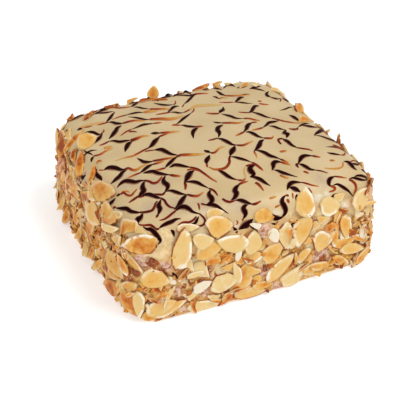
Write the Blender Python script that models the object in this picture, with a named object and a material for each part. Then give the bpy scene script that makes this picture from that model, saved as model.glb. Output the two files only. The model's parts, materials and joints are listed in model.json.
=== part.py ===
"""A square layer torte, coated with sliced almonds and capped with poured glaze.

The cake is one solid: its wall flares towards the foot, and almond slices lie
on it all round, fused to it. The glaze is a second solid that caps the cake:
it is domed, rolls over a rounded shoulder and ends in an uneven lip. Slices
that lean on that shoulder are fused to the glaze.

Metres, +Z up. The front faces -Y. The origin is the middle of the base.
"""

import math
import random

import bmesh
import bpy
from mathutils import Matrix, Vector
from mathutils.bvhtree import BVHTree

# Driving dimensions of the bare cake.
LENGTH = 0.150          # X, over the straight runs before they bulge
WIDTH = 0.147           # Y, the same
SHOULDER = 0.0460       # height at which the wall starts to roll over
ROLL = 0.0118           # radius of the rounded shoulder
DOME = 0.0056           # rise of the top from the shoulder's end to the middle
CORNER = 0.0165         # plan radius of the upright corners
BULGE = 0.0028          # how far the middle of each side stands out
FLARE = 0.035           # how much wider the foot is than the shoulder
FOOT = 0.0012           # small rounding where the wall meets the base
UNEVEN = 0.0008         # swell and hollow of the wall
TOP_WAVE = 0.0006       # swell and hollow of the glazed top

# The sagging dent where the glaze slid at the front right.
DENT_AT = (0.049, -0.066)
DENT_REACH = (0.016, 0.007)
DENT_DEPTH = 0.0026

# The poured glaze.
GLAZE = 0.0026          # thickness
GLAZE_BACK = 0.0010     # how far its face lies behind the wall's line
LIP = 0.0415            # mean height of its lower edge
LIP_WAVE = 0.0022       # how far that edge runs up and down
GAP = 0.0003            # air kept between two solids

# Sliced almonds.
SLICE_LONG = 0.0182
SLICE_WIDE = 0.0098
SLICE_THICK = 0.0011
ROWS = 5                # courses of almonds up the wall
LOWEST_ROW = 0.0040     # height of the first course
ROW_PITCH = 0.0086      # height from one course to the next
ROW_STEP = 0.0152       # distance between neighbours in a course
LEANING = 22            # slices strewn along the shoulder
PICKED_SUNK = 0.0002    # how deep a picked slice sits in the wall
LEANING_SUNK = 0.0004   # and a leaning one in the glaze
BITE = 0.0001           # least depth at which a slice is fused to its carrier
SHIFTS = (0.0, 0.0004, -0.0004, 0.0008, -0.0008, 0.0012, -0.0012)
CLEAR_OF_PICKED = 0.0076
SEED = 417

SIDE_STEPS = 10         # facets along each straight run
CORNER_STEPS = 5        # facets round each corner
OUTLINE_POINTS = 8      # corners of one almond slice

STRAIGHT_X = LENGTH / 2 - CORNER
STRAIGHT_Y = WIDTH / 2 - CORNER
ARC = CORNER * math.pi / 2
RUNS = (2 * STRAIGHT_X + ARC, 2 * STRAIGHT_Y + ARC) * 2
ROUND = sum(RUNS)
HALF = (LENGTH + WIDTH) / 4
TOP = SHOULDER + ROLL

FRONT, RIGHT, BACK, LEFT = range(4)

# Slices picked out by hand on the wall: side, distance along it from its
# middle, height, length, width, turn in the wall's plane, tip of the long axis
# and roll about it. Millimetres and degrees.
PICKED_ON_WALL = (
    (FRONT, -50, 38, 24, 13, 82, 3, 5),
    (FRONT, -35, 35, 18, 11, 6, 2, -6),
    (FRONT, -19, 36, 21, 12, -22, -3, -4),
    (FRONT, -7, 34, 15, 8, 86, 4, 6),
    (FRONT, -36, 24, 12, 11, 60, -3, 5),
    (FRONT, -25, 15, 19, 9, 8, 4, -10),
    (FRONT, -38, 13, 11, 6, 16, 6, 8),
    (FRONT, -10, 12, 17, 8, 80, -5, 7),
    (FRONT, -15, 15, 17, 6, 92, 3, -8),
    (FRONT, 12, 33, 16, 12, -62, 5, 8),
    (FRONT, 5, 24, 17, 10, 52, -4, -7),
    (FRONT, 25, 28, 21, 10, 76, 4, -8),
    (FRONT, 11, 13, 25, 8, 45, 2, 9),
    (FRONT, -7, 4, 20, 6, -3, 0, 12),
    (FRONT, -61, 8, 21, 9, 18, 3, 9),
    (FRONT, -36, 4, 20, 6, 2, 0, 14),
    (FRONT, 42, 38, 15, 11, 20, 2, -9),
    (FRONT, 38, 23, 15, 12, -50, 6, 6),
    (FRONT, 53, 28, 14, 6, 104, -5, 10),
    (FRONT, 57, 11, 18, 8, -14, 4, 10),
    (FRONT, 52, 18, 18, 5, 10, 3, 14),
    (FRONT, -62, 31, 24, 8, -36, 3, 12),
    (LEFT, 36, 31, 17, 8, 10, 4, 9),
    (LEFT, 25, 21, 10, 9, 0, 0, 8),
    (LEFT, 3, 28, 19, 10, 62, 4, -6),
    (LEFT, -50, 36, 18, 9, 80, 3, 9),
    (LEFT, -5, 38, 18, 8, 84, -3, 8),
)

# Slices picked out by hand on the shoulder: side, distance along it, lean from
# upright, length, width, turn. Millimetres and degrees.
PICKED_ON_SHOULDER = (
    (FRONT, -71, 20, 20, 12, -8),
    (FRONT, -29, 36, 16, 13, -30),
    (FRONT, -1, 24, 14, 12, 20),
    (FRONT, 24, 20, 20, 11, 96),
    (FRONT, 45, 26, 12, 8, 10),
    (FRONT, 64, 14, 14, 12, 70),
    (RIGHT, -6, 40, 13, 9, -10),
    (RIGHT, 12, 40, 14, 9, 70),
    (BACK, -42, 46, 10, 6, 10),
    (BACK, 4, 34, 14, 12, 82),
    (BACK, 60, 40, 9, 6, 30),
    (LEFT, -52, 22, 19, 8, 70),
    (LEFT, -30, 36, 23, 9, 42),
    (LEFT, 40, 34, 19, 14, -12),
    (LEFT, 63, 44, 13, 11, 30),
)


def clear_scene():
    for obj in list(bpy.data.objects):
        bpy.data.objects.remove(obj, do_unlink=True)


def plan_point(way):
    """Point and outward direction of the plan, `way` metres from its front left."""
    way %= ROUND
    side = 0
    while way >= RUNS[side]:
        way -= RUNS[side]
        side += 1
    half, reach = (STRAIGHT_X, STRAIGHT_Y) if side % 2 == 0 else (STRAIGHT_Y, STRAIGHT_X)
    facing = math.radians(90 * (side - 1))
    outward = Vector((math.cos(facing), math.sin(facing)))
    travel = Vector((-outward.y, outward.x))
    turn = facing + max(0.0, way - 2 * half) / CORNER
    normal = Vector((math.cos(turn), math.sin(turn)))
    point = outward * reach + travel * (min(way, 2 * half) - half) + normal * CORNER
    point.x *= 1 + 2 * BULGE / LENGTH * math.cos(math.pi * point.y / WIDTH)
    point.y *= 1 + 2 * BULGE / WIDTH * math.cos(math.pi * point.x / LENGTH / (1 + BULGE))
    return point, normal


def way_of(side, along):
    """Distance round the plan of a spot `along` metres from the middle of a side."""
    half = STRAIGHT_X if side % 2 == 0 else STRAIGHT_Y
    return (sum(RUNS[:side]) + half + along) % ROUND


def swell(way, height):
    """How far the wall stands out of or behind its even line."""
    turn = 2 * math.pi * way / ROUND
    slow = math.sin(3 * turn + 1.1) + 0.7 * math.sin(7 * turn + 2.6)
    quick = 0.6 * math.sin(11 * turn + 0.4 + 90 * height)
    return UNEVEN * (slow + quick) / 2


def crown(x, y):
    """Height of the domed, wavy top over the shoulder's end, with its dent."""
    dome = DOME * (1 - (2 * x / LENGTH) ** 2) * (1 - (2 * y / WIDTH) ** 2)
    wave = math.sin(62 * x + 0.8) * math.sin(55 * y + 2.1) + 0.6 * math.sin(95 * x - 70 * y)
    near = ((x - DENT_AT[0]) / DENT_REACH[0]) ** 2 + ((y - DENT_AT[1]) / DENT_REACH[1]) ** 2
    return dome + TOP_WAVE * wave - DENT_DEPTH * math.exp(-near)


def skin(way, inset, height):
    """Point of the cake's outer form, drawn in by `inset`, at a height."""
    point, _ = plan_point(way)
    wide = 1 + FLARE * max(0.0, 1 - height / SHOULDER)
    point = point * ((1 - inset / HALF) * (wide + swell(way, height) / HALF))
    on_top = min(1.0, max(0.0, (height - LIP) / (TOP - LIP)))
    return Vector((point.x, point.y, height + on_top * crown(point.x, point.y)))


def lip_height(way):
    """Height of the glaze's uneven lower edge."""
    turn = 2 * math.pi * way / ROUND
    runs = math.sin(5 * turn + 0.7) + 0.8 * math.sin(13 * turn + 2.0) + 0.5 * math.sin(23 * turn)
    return LIP + LIP_WAVE * runs / 2


def over_the_top(inset, depth, roll_steps, dome_steps):
    """(inset, height) pairs from the shoulder over the roll to near the middle.

    `inset` is how far the upright part is drawn in, and `depth` how far the
    top lies under the cake's full height.
    """
    radius = ROLL - depth
    centre = inset + radius
    pairs = []
    for step in range(roll_steps + 1):
        angle = math.pi / 2 * step / roll_steps
        pairs.append((centre - radius * math.cos(angle), SHOULDER + radius * math.sin(angle)))
    for step in range(1, dome_steps):
        pairs.append((centre + (HALF - centre) * step / dome_steps, TOP - depth))
    return pairs


def ways_round():
    """Places of the upright facets' edges, closer together at the corners."""
    ways = []
    start = 0.0
    for side in range(4):
        run = RUNS[side] - ARC
        ways += [start + run * step / SIDE_STEPS for step in range(SIDE_STEPS)]
        ways += [start + run + ARC * step / CORNER_STEPS for step in range(CORNER_STEPS)]
        start += RUNS[side]
    return ways


def loft(name, rings, start_cap, end_cap):
    """Closed mesh through rings of points. A cap is a point, or None for one flat face."""
    shell = bmesh.new()
    loops = [[shell.verts.new(point) for point in ring] for ring in rings]
    count = len(loops[0])
    for lower, upper in zip(loops, loops[1:]):
        for i in range(count):
            j = (i + 1) % count
            shell.faces.new((lower[i], lower[j], upper[j], upper[i]))
    for loop, cap in ((loops[0], start_cap), (loops[-1], end_cap)):
        if cap is None:
            shell.faces.new(loop)
            continue
        middle = shell.verts.new(cap)
        for i in range(count):
            shell.faces.new((loop[i], loop[(i + 1) % count], middle))
    bmesh.ops.recalc_face_normals(shell, faces=shell.faces[:])
    mesh = bpy.data.meshes.new(name)
    shell.to_mesh(mesh)
    shell.free()
    return mesh


def cake_mesh():
    """Flared wall, a ledge under the glaze's lip, and the top under the glaze."""
    ways = ways_round()
    drawn_in = GLAZE_BACK + GLAZE + GAP
    walls = ((FOOT, 0.0), (0.0, FOOT), (0.0, SHOULDER / 3), (0.0, SHOULDER * 2 / 3))
    rings = [[skin(way, inset, height) for way in ways] for inset, height in walls]
    rings.append([skin(way, 0.0, lip_height(way) - GAP) for way in ways])
    rings.append([skin(way, drawn_in, lip_height(way) - GAP) for way in ways])
    for inset, height in over_the_top(drawn_in, GLAZE + GAP, 3, 3):
        rings.append([skin(way, inset, height) for way in ways])
    middle = Vector((0, 0, TOP - GLAZE - GAP + crown(0, 0)))
    return loft("cake", rings, None, middle)


def glaze_mesh():
    """Cap that rolls over the shoulder, with a rounded lower lip."""
    ways = ways_round()
    rings = []
    inner = over_the_top(GLAZE_BACK + GLAZE, GLAZE, 3, 3)
    for inset, height in reversed(inner):
        rings.append([skin(way, inset, height) for way in ways])
    for share, drop in ((1.0, 0.4), (0.7, 0.0), (0.3, 0.0), (0.0, 0.4)):
        inset = GLAZE_BACK + GLAZE * share
        rise = drop * GLAZE
        rings.append([skin(way, inset, lip_height(way) + rise) for way in ways])
    for inset, height in over_the_top(GLAZE_BACK, 0.0, 4, 4):
        rings.append([skin(way, inset, height) for way in ways])
    under = Vector((0, 0, TOP - GLAZE + crown(0, 0)))
    over = Vector((0, 0, TOP + crown(0, 0)))
    return loft("icing", rings, under, over)


def slice_mesh(long, wide, thick):
    """Flat almond slice: a pointed oval, tip towards +X, +Z off the wall."""
    shape = bmesh.new()
    corners = []
    for i in range(OUTLINE_POINTS):
        angle = 2 * math.pi * i / OUTLINE_POINTS
        along = math.cos(angle)
        across = math.sin(angle) * (1 - 0.28 * along)
        corners.append((long / 2 * along, wide / 2 * across))
    low = [shape.verts.new((x, y, 0)) for x, y in corners]
    high = [shape.verts.new((x * 0.94, y * 0.94, thick)) for x, y in corners]
    shape.faces.new(list(reversed(low)))
    shape.faces.new(high)
    for i in range(OUTLINE_POINTS):
        j = (i + 1) % OUTLINE_POINTS
        shape.faces.new((low[i], low[j], high[j], high[i]))
    mesh = bpy.data.meshes.new("slice")
    shape.to_mesh(mesh)
    shape.free()
    return mesh


def wall_frame(way, height):
    """Axes on the wall: X along it, Y up it, Z off it, origin on its face."""
    here = skin(way, 0.0, height)
    along = (skin(way + 0.002, 0.0, height) - skin(way - 0.002, 0.0, height)).normalized()
    up = (skin(way, 0.0, height + 0.002) - here).normalized()
    off = along.cross(up).normalized()
    frame = Matrix((along, off.cross(along), off)).transposed().to_4x4()
    return Matrix.Translation(here) @ frame


def glaze_frame(way, angle):
    """Axes on the glaze's roll, `angle` radians up from the shoulder."""
    inset = GLAZE_BACK + ROLL * (1 - math.cos(angle))
    here = skin(way, inset, SHOULDER + ROLL * math.sin(angle))
    along = (skin(way + 0.002, 0.0, SHOULDER) - skin(way - 0.002, 0.0, SHOULDER)).normalized()
    flat_off = Vector((along.y, -along.x, 0))
    off = flat_off * math.cos(angle) + Vector((0, 0, 1)) * math.sin(angle)
    frame = Matrix((along, off.cross(along), off)).transposed().to_4x4()
    return Matrix.Translation(here) @ frame


def place_slice(frame, size, turn, tip, roll, sunk, grown=0.0):
    """Slice turned in its frame, tipped and sunk in, lifted clear of the floor."""
    long, wide = (length + 2 * grown for length in size)
    mesh = slice_mesh(long, wide, SLICE_THICK + 2 * grown)
    turned = frame @ Matrix.Translation((0, 0, -sunk)) @ Matrix.Rotation(turn, 4, "Z")
    turned = turned @ Matrix.Rotation(tip, 4, "Y") @ Matrix.Rotation(roll, 4, "X")
    mesh.transform(turned @ Matrix.Translation((0, 0, -grown)))
    lowest = min(vertex.co.z for vertex in mesh.vertices) + grown
    if lowest < GAP:
        mesh.transform(Matrix.Translation((0, 0, GAP - lowest)))
    return mesh


def wall_spots():
    """Way, height and the rest of each slice on the wall: picked, then strewn."""
    spots = []
    for side, along, height, long, wide, turn, tip, roll in PICKED_ON_WALL:
        angles = [math.radians(angle) for angle in (turn, tip, roll)]
        place = (way_of(side, along / 1000), height / 1000)
        spots.append((place, (long / 1000, wide / 1000), *angles, PICKED_SUNK))
    picked = [place for place, *_ in spots]
    draws = random.Random(SEED)
    steps = round(ROUND / ROW_STEP)
    for row in range(ROWS):
        for step in range(steps):
            way = ROUND * (step + 0.5 * (row % 2) + draws.uniform(-0.3, 0.3)) / steps
            height = LOWEST_ROW + ROW_PITCH * row + draws.uniform(-0.0024, 0.0024)
            long = SLICE_LONG * draws.uniform(0.70, 1.12)
            wide = SLICE_WIDE * long / SLICE_LONG * draws.uniform(0.62, 1.08)
            turn = draws.uniform(-math.pi, math.pi)
            tip = math.radians(draws.uniform(-10, 10))
            roll = math.radians(draws.uniform(-22, 22))
            sunk = draws.uniform(-0.0008, 0.0007)
            if all(apart((way, height), other) > CLEAR_OF_PICKED for other in picked):
                spots.append(((way, height), (long, wide), turn, tip, roll, sunk))
    return spots


def shoulder_spots():
    """Way, lean and the rest of each slice on the shoulder: picked, then strewn."""
    spots = []
    for side, along, lean, long, wide, turn in PICKED_ON_SHOULDER:
        place = (way_of(side, along / 1000), math.radians(lean))
        spots.append((place, (long / 1000, wide / 1000), math.radians(turn)))
    picked = [place for place, *_ in spots]
    draws = random.Random(SEED + 1)
    for step in range(LEANING):
        way = ROUND * (step + draws.uniform(-0.3, 0.3)) / LEANING
        lean = math.radians(draws.uniform(14, 40))
        long = SLICE_LONG * draws.uniform(0.6, 1.05)
        wide = SLICE_WIDE * long / SLICE_LONG * draws.uniform(0.7, 1.1)
        turn = draws.uniform(-math.pi, math.pi)
        if all(apart((way, 0), (other, 0)) > 2 * CLEAR_OF_PICKED for other, _ in picked):
            spots.append(((way, lean), (long, wide), turn))
    return spots


def apart(here, there):
    """Distance between two (way, height) places on the wall."""
    round_way = abs(here[0] - there[0]) % ROUND
    return math.hypot(min(round_way, ROUND - round_way), here[1] - there[1])


def tree_of(mesh):
    corners = [vertex.co[:] for vertex in mesh.vertices]
    return BVHTree.FromPolygons(corners, [face.vertices[:] for face in mesh.polygons])


def clear_slices(placements, carrier, other):
    """Meshes of the slices that bite into their carrier and clear the other solid.

    A slice that doesn't is shifted off its carrier or into it in small steps,
    and left out if none of them will do.
    """
    on, off = tree_of(carrier), tree_of(other)
    meshes = []
    for *pose, sunk in placements:
        for shift in SHIFTS:
            wider = tree_of(place_slice(*pose, sunk - shift, grown=GAP))
            slimmer = tree_of(place_slice(*pose, sunk - shift, grown=-BITE))
            if on.overlap(slimmer) and not off.overlap(wider):
                meshes.append(place_slice(*pose, sunk - shift))
                break
    return meshes


def keep_largest_shell(mesh):
    """Drops loose scraps, and fills hollows that fusing sealed."""
    shell = bmesh.new()
    shell.from_mesh(mesh)
    left = set(shell.verts)
    shells = []
    while left:
        found = {left.pop()}
        edge = list(found)
        while edge:
            vertex = edge.pop()
            for link in vertex.link_edges:
                other = link.other_vert(vertex)
                if other not in found:
                    found.add(other)
                    edge.append(other)
        left -= found
        shells.append(found)
    largest = max(shells, key=len)
    scraps = [vertex for vertex in shell.verts if vertex not in largest]
    bmesh.ops.delete(shell, geom=scraps, context="VERTS")
    bmesh.ops.triangulate(shell, faces=shell.faces[:])
    shell.to_mesh(mesh)
    shell.free()


def fuse(base, meshes):
    """Joins meshes to an object by one Boolean union, and removes the helpers."""
    helpers = bpy.data.collections.new("helpers")
    bpy.context.scene.collection.children.link(helpers)
    for mesh in meshes:
        helpers.objects.link(bpy.data.objects.new("slice", mesh))
    union = base.modifiers.new("fuse", "BOOLEAN")
    union.operation = "UNION"
    union.operand_type = "COLLECTION"
    union.collection = helpers
    union.solver = "EXACT"
    graph = bpy.context.evaluated_depsgraph_get()
    fused = bpy.data.meshes.new_from_object(base.evaluated_get(graph))
    base.modifiers.remove(union)
    base.data = fused
    for obj in list(helpers.objects):
        bpy.data.objects.remove(obj, do_unlink=True)
    bpy.data.collections.remove(helpers)
    keep_largest_shell(fused)


def finish(name, colour, roughness):
    material = bpy.data.materials.new(name)
    material.use_nodes = True
    surface = material.node_tree.nodes["Principled BSDF"]
    surface.inputs["Base Color"].default_value = (*colour, 1.0)
    surface.inputs["Roughness"].default_value = roughness
    surface.inputs["Metallic"].default_value = 0.0
    return material


def add_object(name, mesh, material):
    obj = bpy.data.objects.new(name, mesh)
    bpy.context.scene.collection.objects.link(obj)
    obj.data.materials.append(material)
    return obj


def main():
    clear_scene()
    cake = add_object("cake", cake_mesh(), finish("almond_coat", (0.72, 0.47, 0.20), 0.6))
    icing = add_object("icing", glaze_mesh(), finish("glaze", (0.68, 0.54, 0.29), 0.3))
    leaning = [
        (glaze_frame(*place), size, turn, 0.0, 0.0, LEANING_SUNK)
        for place, size, turn in shoulder_spots()
    ]
    fuse(icing, clear_slices(leaning, icing.data, cake.data))
    lying = [(wall_frame(*place), *rest) for place, *rest in wall_spots()]
    fuse(cake, clear_slices(lying, cake.data, icing.data))
    for obj in (cake, icing):
        obj.data.shade_smooth()
        obj.data.set_sharp_from_angle(angle=math.radians(35))
        print(obj.name, len(obj.data.polygons), "triangles")


main()
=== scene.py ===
# %% [markdown]
# # A square almond torte with a feathered glaze
#
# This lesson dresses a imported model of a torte: a square cake whose sides are
# coated with sliced almonds, under a poured glaze that is feathered with dark
# chocolate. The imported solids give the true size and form. What follows here
# puts a finer surface over each of them, without changing where they stand.
#
# Everything is in metres, with +Z up and the front facing -Y.

# %% Load the frame
import json
import math
import random

import bmesh
import bpy
from mathutils import Matrix, Vector
from mathutils.bvhtree import BVHTree

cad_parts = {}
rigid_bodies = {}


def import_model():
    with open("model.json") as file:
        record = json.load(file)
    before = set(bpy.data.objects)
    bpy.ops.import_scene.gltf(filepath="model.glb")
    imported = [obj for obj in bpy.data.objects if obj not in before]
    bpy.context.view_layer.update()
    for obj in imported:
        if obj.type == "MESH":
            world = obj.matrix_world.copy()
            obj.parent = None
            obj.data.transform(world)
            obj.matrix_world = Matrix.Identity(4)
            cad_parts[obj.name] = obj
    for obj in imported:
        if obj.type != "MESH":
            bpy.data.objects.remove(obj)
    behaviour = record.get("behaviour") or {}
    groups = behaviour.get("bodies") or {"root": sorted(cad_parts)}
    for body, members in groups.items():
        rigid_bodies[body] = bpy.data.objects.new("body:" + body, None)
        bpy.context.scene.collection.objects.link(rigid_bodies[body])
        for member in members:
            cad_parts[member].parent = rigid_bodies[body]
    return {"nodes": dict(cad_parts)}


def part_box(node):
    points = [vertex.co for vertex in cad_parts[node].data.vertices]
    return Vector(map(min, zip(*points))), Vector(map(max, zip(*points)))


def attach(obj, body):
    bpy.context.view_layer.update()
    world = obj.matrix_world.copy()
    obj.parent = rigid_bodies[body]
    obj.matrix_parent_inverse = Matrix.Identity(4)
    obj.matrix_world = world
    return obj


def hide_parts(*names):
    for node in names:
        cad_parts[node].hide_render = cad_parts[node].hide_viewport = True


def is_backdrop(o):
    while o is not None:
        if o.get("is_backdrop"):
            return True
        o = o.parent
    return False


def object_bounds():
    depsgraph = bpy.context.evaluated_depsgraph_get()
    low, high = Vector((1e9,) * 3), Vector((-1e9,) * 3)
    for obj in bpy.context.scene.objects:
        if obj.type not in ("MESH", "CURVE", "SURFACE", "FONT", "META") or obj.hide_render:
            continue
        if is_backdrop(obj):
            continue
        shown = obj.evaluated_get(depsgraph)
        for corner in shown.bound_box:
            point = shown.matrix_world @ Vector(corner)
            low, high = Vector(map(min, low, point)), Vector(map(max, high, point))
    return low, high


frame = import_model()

solid_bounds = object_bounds()
print("nodes:", sorted(frame["nodes"]))

# %% [markdown]
# ## The form of the cake
#
# A baked and coated cake is never a plain block. Seen from above, its sides
# bulge a little and its corners are round. Seen from the side, the wall flares
# towards the foot and rolls over a soft shoulder into a shallow dome. One
# function can say all of that: it takes a distance walked round the cake and a
# height, and gives the point of the skin there. The solids come from the same
# rule, so that anything placed with it lies on them.

# %% Driving dimensions
LENGTH = 0.150
WIDTH = 0.147
SHOULDER = 0.0460
ROLL = 0.0118
DOME = 0.0056
CORNER = 0.0165
BULGE = 0.0028
FLARE = 0.035
FOOT = 0.0012
UNEVEN = 0.0008
TOP_WAVE = 0.0006
DENT_AT = (0.049, -0.066)
DENT_REACH = (0.016, 0.007)
DENT_DEPTH = 0.0026
GLAZE = 0.0026
GLAZE_BACK = 0.0010
LIP = 0.0415
LIP_WAVE = 0.0022
GAP = 0.0003
MM = 0.001

# Waves round the cake: how many, phase and size.
WALL_WAVES = ((3, 1.1, 1.0), (7, 2.6, 0.7))
LIP_WAVES = ((5, 0.7, 1.0), (13, 2.0, 0.8), (23, 0.0, 0.5))
RUN_WAVES = ((9, 0.5, 1.0), (17, 1.3, 0.8), (31, 0.2, 0.7))

STRAIGHT_X = LENGTH / 2 - CORNER
STRAIGHT_Y = WIDTH / 2 - CORNER
ARC = CORNER * math.pi / 2
RUNS = (2 * STRAIGHT_X + ARC, 2 * STRAIGHT_Y + ARC) * 2
ROUND = sum(RUNS)
HALF = (LENGTH + WIDTH) / 4
TOP = SHOULDER + ROLL
FRONT, RIGHT, BACK, LEFT = range(4)
print(f"once round the cake is {ROUND / MM:.0f} mm")

# %% Walk round the plan
def plan_point(way):
    """Point and outward direction of the plan, `way` metres from its front left."""
    way %= ROUND
    side = 0
    while way >= RUNS[side]:
        way -= RUNS[side]
        side += 1
    half, reach = (STRAIGHT_X, STRAIGHT_Y) if side % 2 == 0 else (STRAIGHT_Y, STRAIGHT_X)
    facing = math.radians(90 * (side - 1))
    outward = Vector((math.cos(facing), math.sin(facing)))
    travel = Vector((-outward.y, outward.x))
    turn = facing + max(0.0, way - 2 * half) / CORNER
    normal = Vector((math.cos(turn), math.sin(turn)))
    point = outward * reach + travel * (min(way, 2 * half) - half) + normal * CORNER
    point.x *= 1 + 2 * BULGE / LENGTH * math.cos(math.pi * point.y / WIDTH)
    point.y *= 1 + 2 * BULGE / WIDTH * math.cos(math.pi * point.x / LENGTH / (1 + BULGE))
    return point, normal


def way_of(side, along):
    """Distance round the plan of a spot `along` metres from the middle of a side."""
    half = STRAIGHT_X if side % 2 == 0 else STRAIGHT_Y
    return (sum(RUNS[:side]) + half + along) % ROUND


print("front left:", [round(value, 4) for value in plan_point(0)[0]])

# %% Flare, dome and dent
def waves(way, *terms):
    """Sum of waves round the cake, each (how many, phase, size)."""
    turn = 2 * math.pi * way / ROUND
    return sum(size * math.sin(count * turn + phase) for count, phase, size in terms)


def swell(way, height):
    """How far the wall stands out of or behind its even line."""
    return UNEVEN * waves(way, *WALL_WAVES, (11, 0.4 + 90 * height, 0.6)) / 2


def lip_height(way):
    """Height of the glaze's uneven lower edge."""
    return LIP + LIP_WAVE * waves(way, *LIP_WAVES) / 2


def crown(x, y):
    """Height of the domed, wavy top over the shoulder's end, with its dent."""
    dome = DOME * (1 - (2 * x / LENGTH) ** 2) * (1 - (2 * y / WIDTH) ** 2)
    wave = math.sin(62 * x + 0.8) * math.sin(55 * y + 2.1) + 0.6 * math.sin(95 * x - 70 * y)
    near = ((x - DENT_AT[0]) / DENT_REACH[0]) ** 2 + ((y - DENT_AT[1]) / DENT_REACH[1]) ** 2
    return dome + TOP_WAVE * wave - DENT_DEPTH * math.exp(-near)


def skin(way, inset, height):
    """Point of the cake's outer form, drawn in by `inset`, at a height."""
    point, _ = plan_point(way)
    wide = 1 + FLARE * max(0.0, 1 - height / SHOULDER)
    point = point * ((1 - inset / HALF) * (wide + swell(way, height) / HALF))
    on_top = min(1.0, max(0.0, (height - LIP) / (TOP - LIP)))
    return Vector((point.x, point.y, height + on_top * crown(point.x, point.y)))


def on_roll(angle, inset=GLAZE_BACK, radius=ROLL):
    """(inset, height) on the rounded edge, `angle` radians up from the shoulder."""
    return inset + radius * (1 - math.cos(angle)), SHOULDER + radius * math.sin(angle)


def over_the_top(inset, depth, roll_steps, dome_steps):
    """(inset, height) pairs from the shoulder over the roll to near the middle."""
    radius = ROLL - depth
    centre = inset + radius
    pairs = [on_roll(math.pi / 2 * step / roll_steps, inset, radius) for step in range(roll_steps + 1)]
    for step in range(1, dome_steps):
        pairs.append((centre + (HALF - centre) * step / dome_steps, TOP - depth))
    return pairs


low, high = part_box("icing")
print(f"the top is {skin(0, HALF, TOP).z / MM:.1f} mm high, the glaze solid {high.z / MM:.1f} mm")

# %% [markdown]
# ## Camera and light
#
# The picture was taken from the front left, a little above the cake, with a
# long lens, so that its edges hardly converge. The camera is placed by its
# direction and distance from a point in the cake. The light is a bright, white
# room with one large soft lamp high on the right, which gives the almonds
# their small shadows and the glaze its broad sheen.

# %% Camera
CAMERA_AZIMUTH = math.radians(-24.61)
CAMERA_ELEVATION = math.radians(32.77)
CAMERA_DISTANCE = 0.5755
CAMERA_TARGET = Vector((-0.01248, -0.02686, 0.0300))
LENS_MM = 84.745


def new_object(name, data):
    """An object in the scene."""
    made = bpy.data.objects.new(name, data)
    bpy.context.scene.collection.objects.link(made)
    return made


camera = new_object("camera", bpy.data.cameras.new("camera"))
away = Vector((
    math.sin(CAMERA_AZIMUTH) * math.cos(CAMERA_ELEVATION),
    -math.cos(CAMERA_AZIMUTH) * math.cos(CAMERA_ELEVATION),
    math.sin(CAMERA_ELEVATION),
))
camera.location = CAMERA_TARGET + away * CAMERA_DISTANCE
camera.rotation_euler = away.to_track_quat("Z", "Y").to_euler()
camera.data.lens = LENS_MM
camera.data.clip_start = 0.01
bpy.context.scene.camera = camera
bpy.context.scene.view_settings.view_transform = "Standard"
print("camera stands at", [round(value, 3) for value in camera.location])

# %% Lamps and the white room
WHITE = (1.0, 1.0, 1.0, 1.0)


def add_softbox(name, place, aim, size, power):
    """A square lamp that faces the point `aim`."""
    lamp = new_object(name, bpy.data.lights.new(name, "AREA"))
    lamp.location = place
    lamp.rotation_euler = (Vector(place) - Vector(aim)).to_track_quat("Z", "Y").to_euler()
    lamp.data.size = size
    lamp.data.energy = power


add_softbox("key_lamp", (0.55, -0.45, 1.25), (0, 0, 0.03), 0.60, 8.9)
add_softbox("fill_lamp", (-1.00, -0.80, 0.80), (0, 0, 0.02), 0.9, 4.3)

room = bpy.data.worlds.new("white_room")
room.use_nodes = True
background = room.node_tree.nodes["Background"].inputs
background["Color"].default_value = WHITE
background["Strength"].default_value = 0.60
bpy.context.scene.world = room

# %% [markdown]
# ## Reading places off the picture
#
# The slices and lines that face the camera are placed each by a few pixels
# of the 416 by 416 picture. A line of sight through a pixel meets the
# cake's skin in one point, and there the piece lies, whichever side it is
# seen from later. A line that passes the cake gives its place nearest to the
# skin, which is where the end of a slice juts out.

# %% Lines of sight
PICTURE = 416
SENSOR_MM = 36.0
FOCAL_PIXELS = LENS_MM / SENSOR_MM * PICTURE
PIXEL = CAMERA_DISTANCE / FOCAL_PIXELS
VIEW = away.to_track_quat("Z", "Y").to_matrix()
SEARCH_FROM = 0.42
SEARCH_STEP = 0.0016
SEARCH_STEPS = 170
BURIED = 0.0002


def sight(pixel):
    """Direction from the camera through a pixel."""
    across, down = pixel[0] - PICTURE / 2, pixel[1] - PICTURE / 2
    return (VIEW @ Vector((across, -down, -FOCAL_PIXELS))).normalized()


def surface_of(*meshes):
    """A search tree over the faces of some meshes."""
    points, faces = [], []
    for mesh in meshes:
        first = len(points)
        points += [vertex.co.copy() for vertex in mesh.vertices]
        faces += [[first + i for i in face.vertices] for face in mesh.polygons]
    return BVHTree.FromPolygons(points, faces)


def finished_mesh(name, shape):
    """The mesh of a bmesh, which is freed."""
    mesh = bpy.data.meshes.new(name)
    shape.to_mesh(mesh)
    shape.free()
    return mesh


def proud_part(mesh, surface):
    """The faces of a mesh that stand out of a surface."""
    shape = bmesh.new()
    shape.from_mesh(mesh)
    buried = []
    for face in shape.faces:
        middle = face.calc_center_median()
        near, normal, _, _ = surface.find_nearest(middle)
        if (middle - near).dot(normal) < BURIED:
            buried.append(face)
    bmesh.ops.delete(shape, geom=buried, context="FACES")
    return finished_mesh("proud_part", shape)


def seen(surface, pixel):
    """Place and outward direction of a surface behind a pixel."""
    line = sight(pixel)
    point, normal, _, _ = surface.ray_cast(camera.location, line)
    if point is not None:
        return point, normal
    nearest = None
    for step in range(SEARCH_STEPS):
        place = camera.location + line * (SEARCH_FROM + SEARCH_STEP * step)
        if place.z < SEARCH_STEP / 2:
            break
        _, normal, _, distance = surface.find_nearest(place)
        if nearest is None or distance < nearest[0]:
            nearest = (distance, place, normal)
    return nearest[1:]


print(f"one pixel spans {PIXEL / MM:.2f} mm of the cake")

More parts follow.
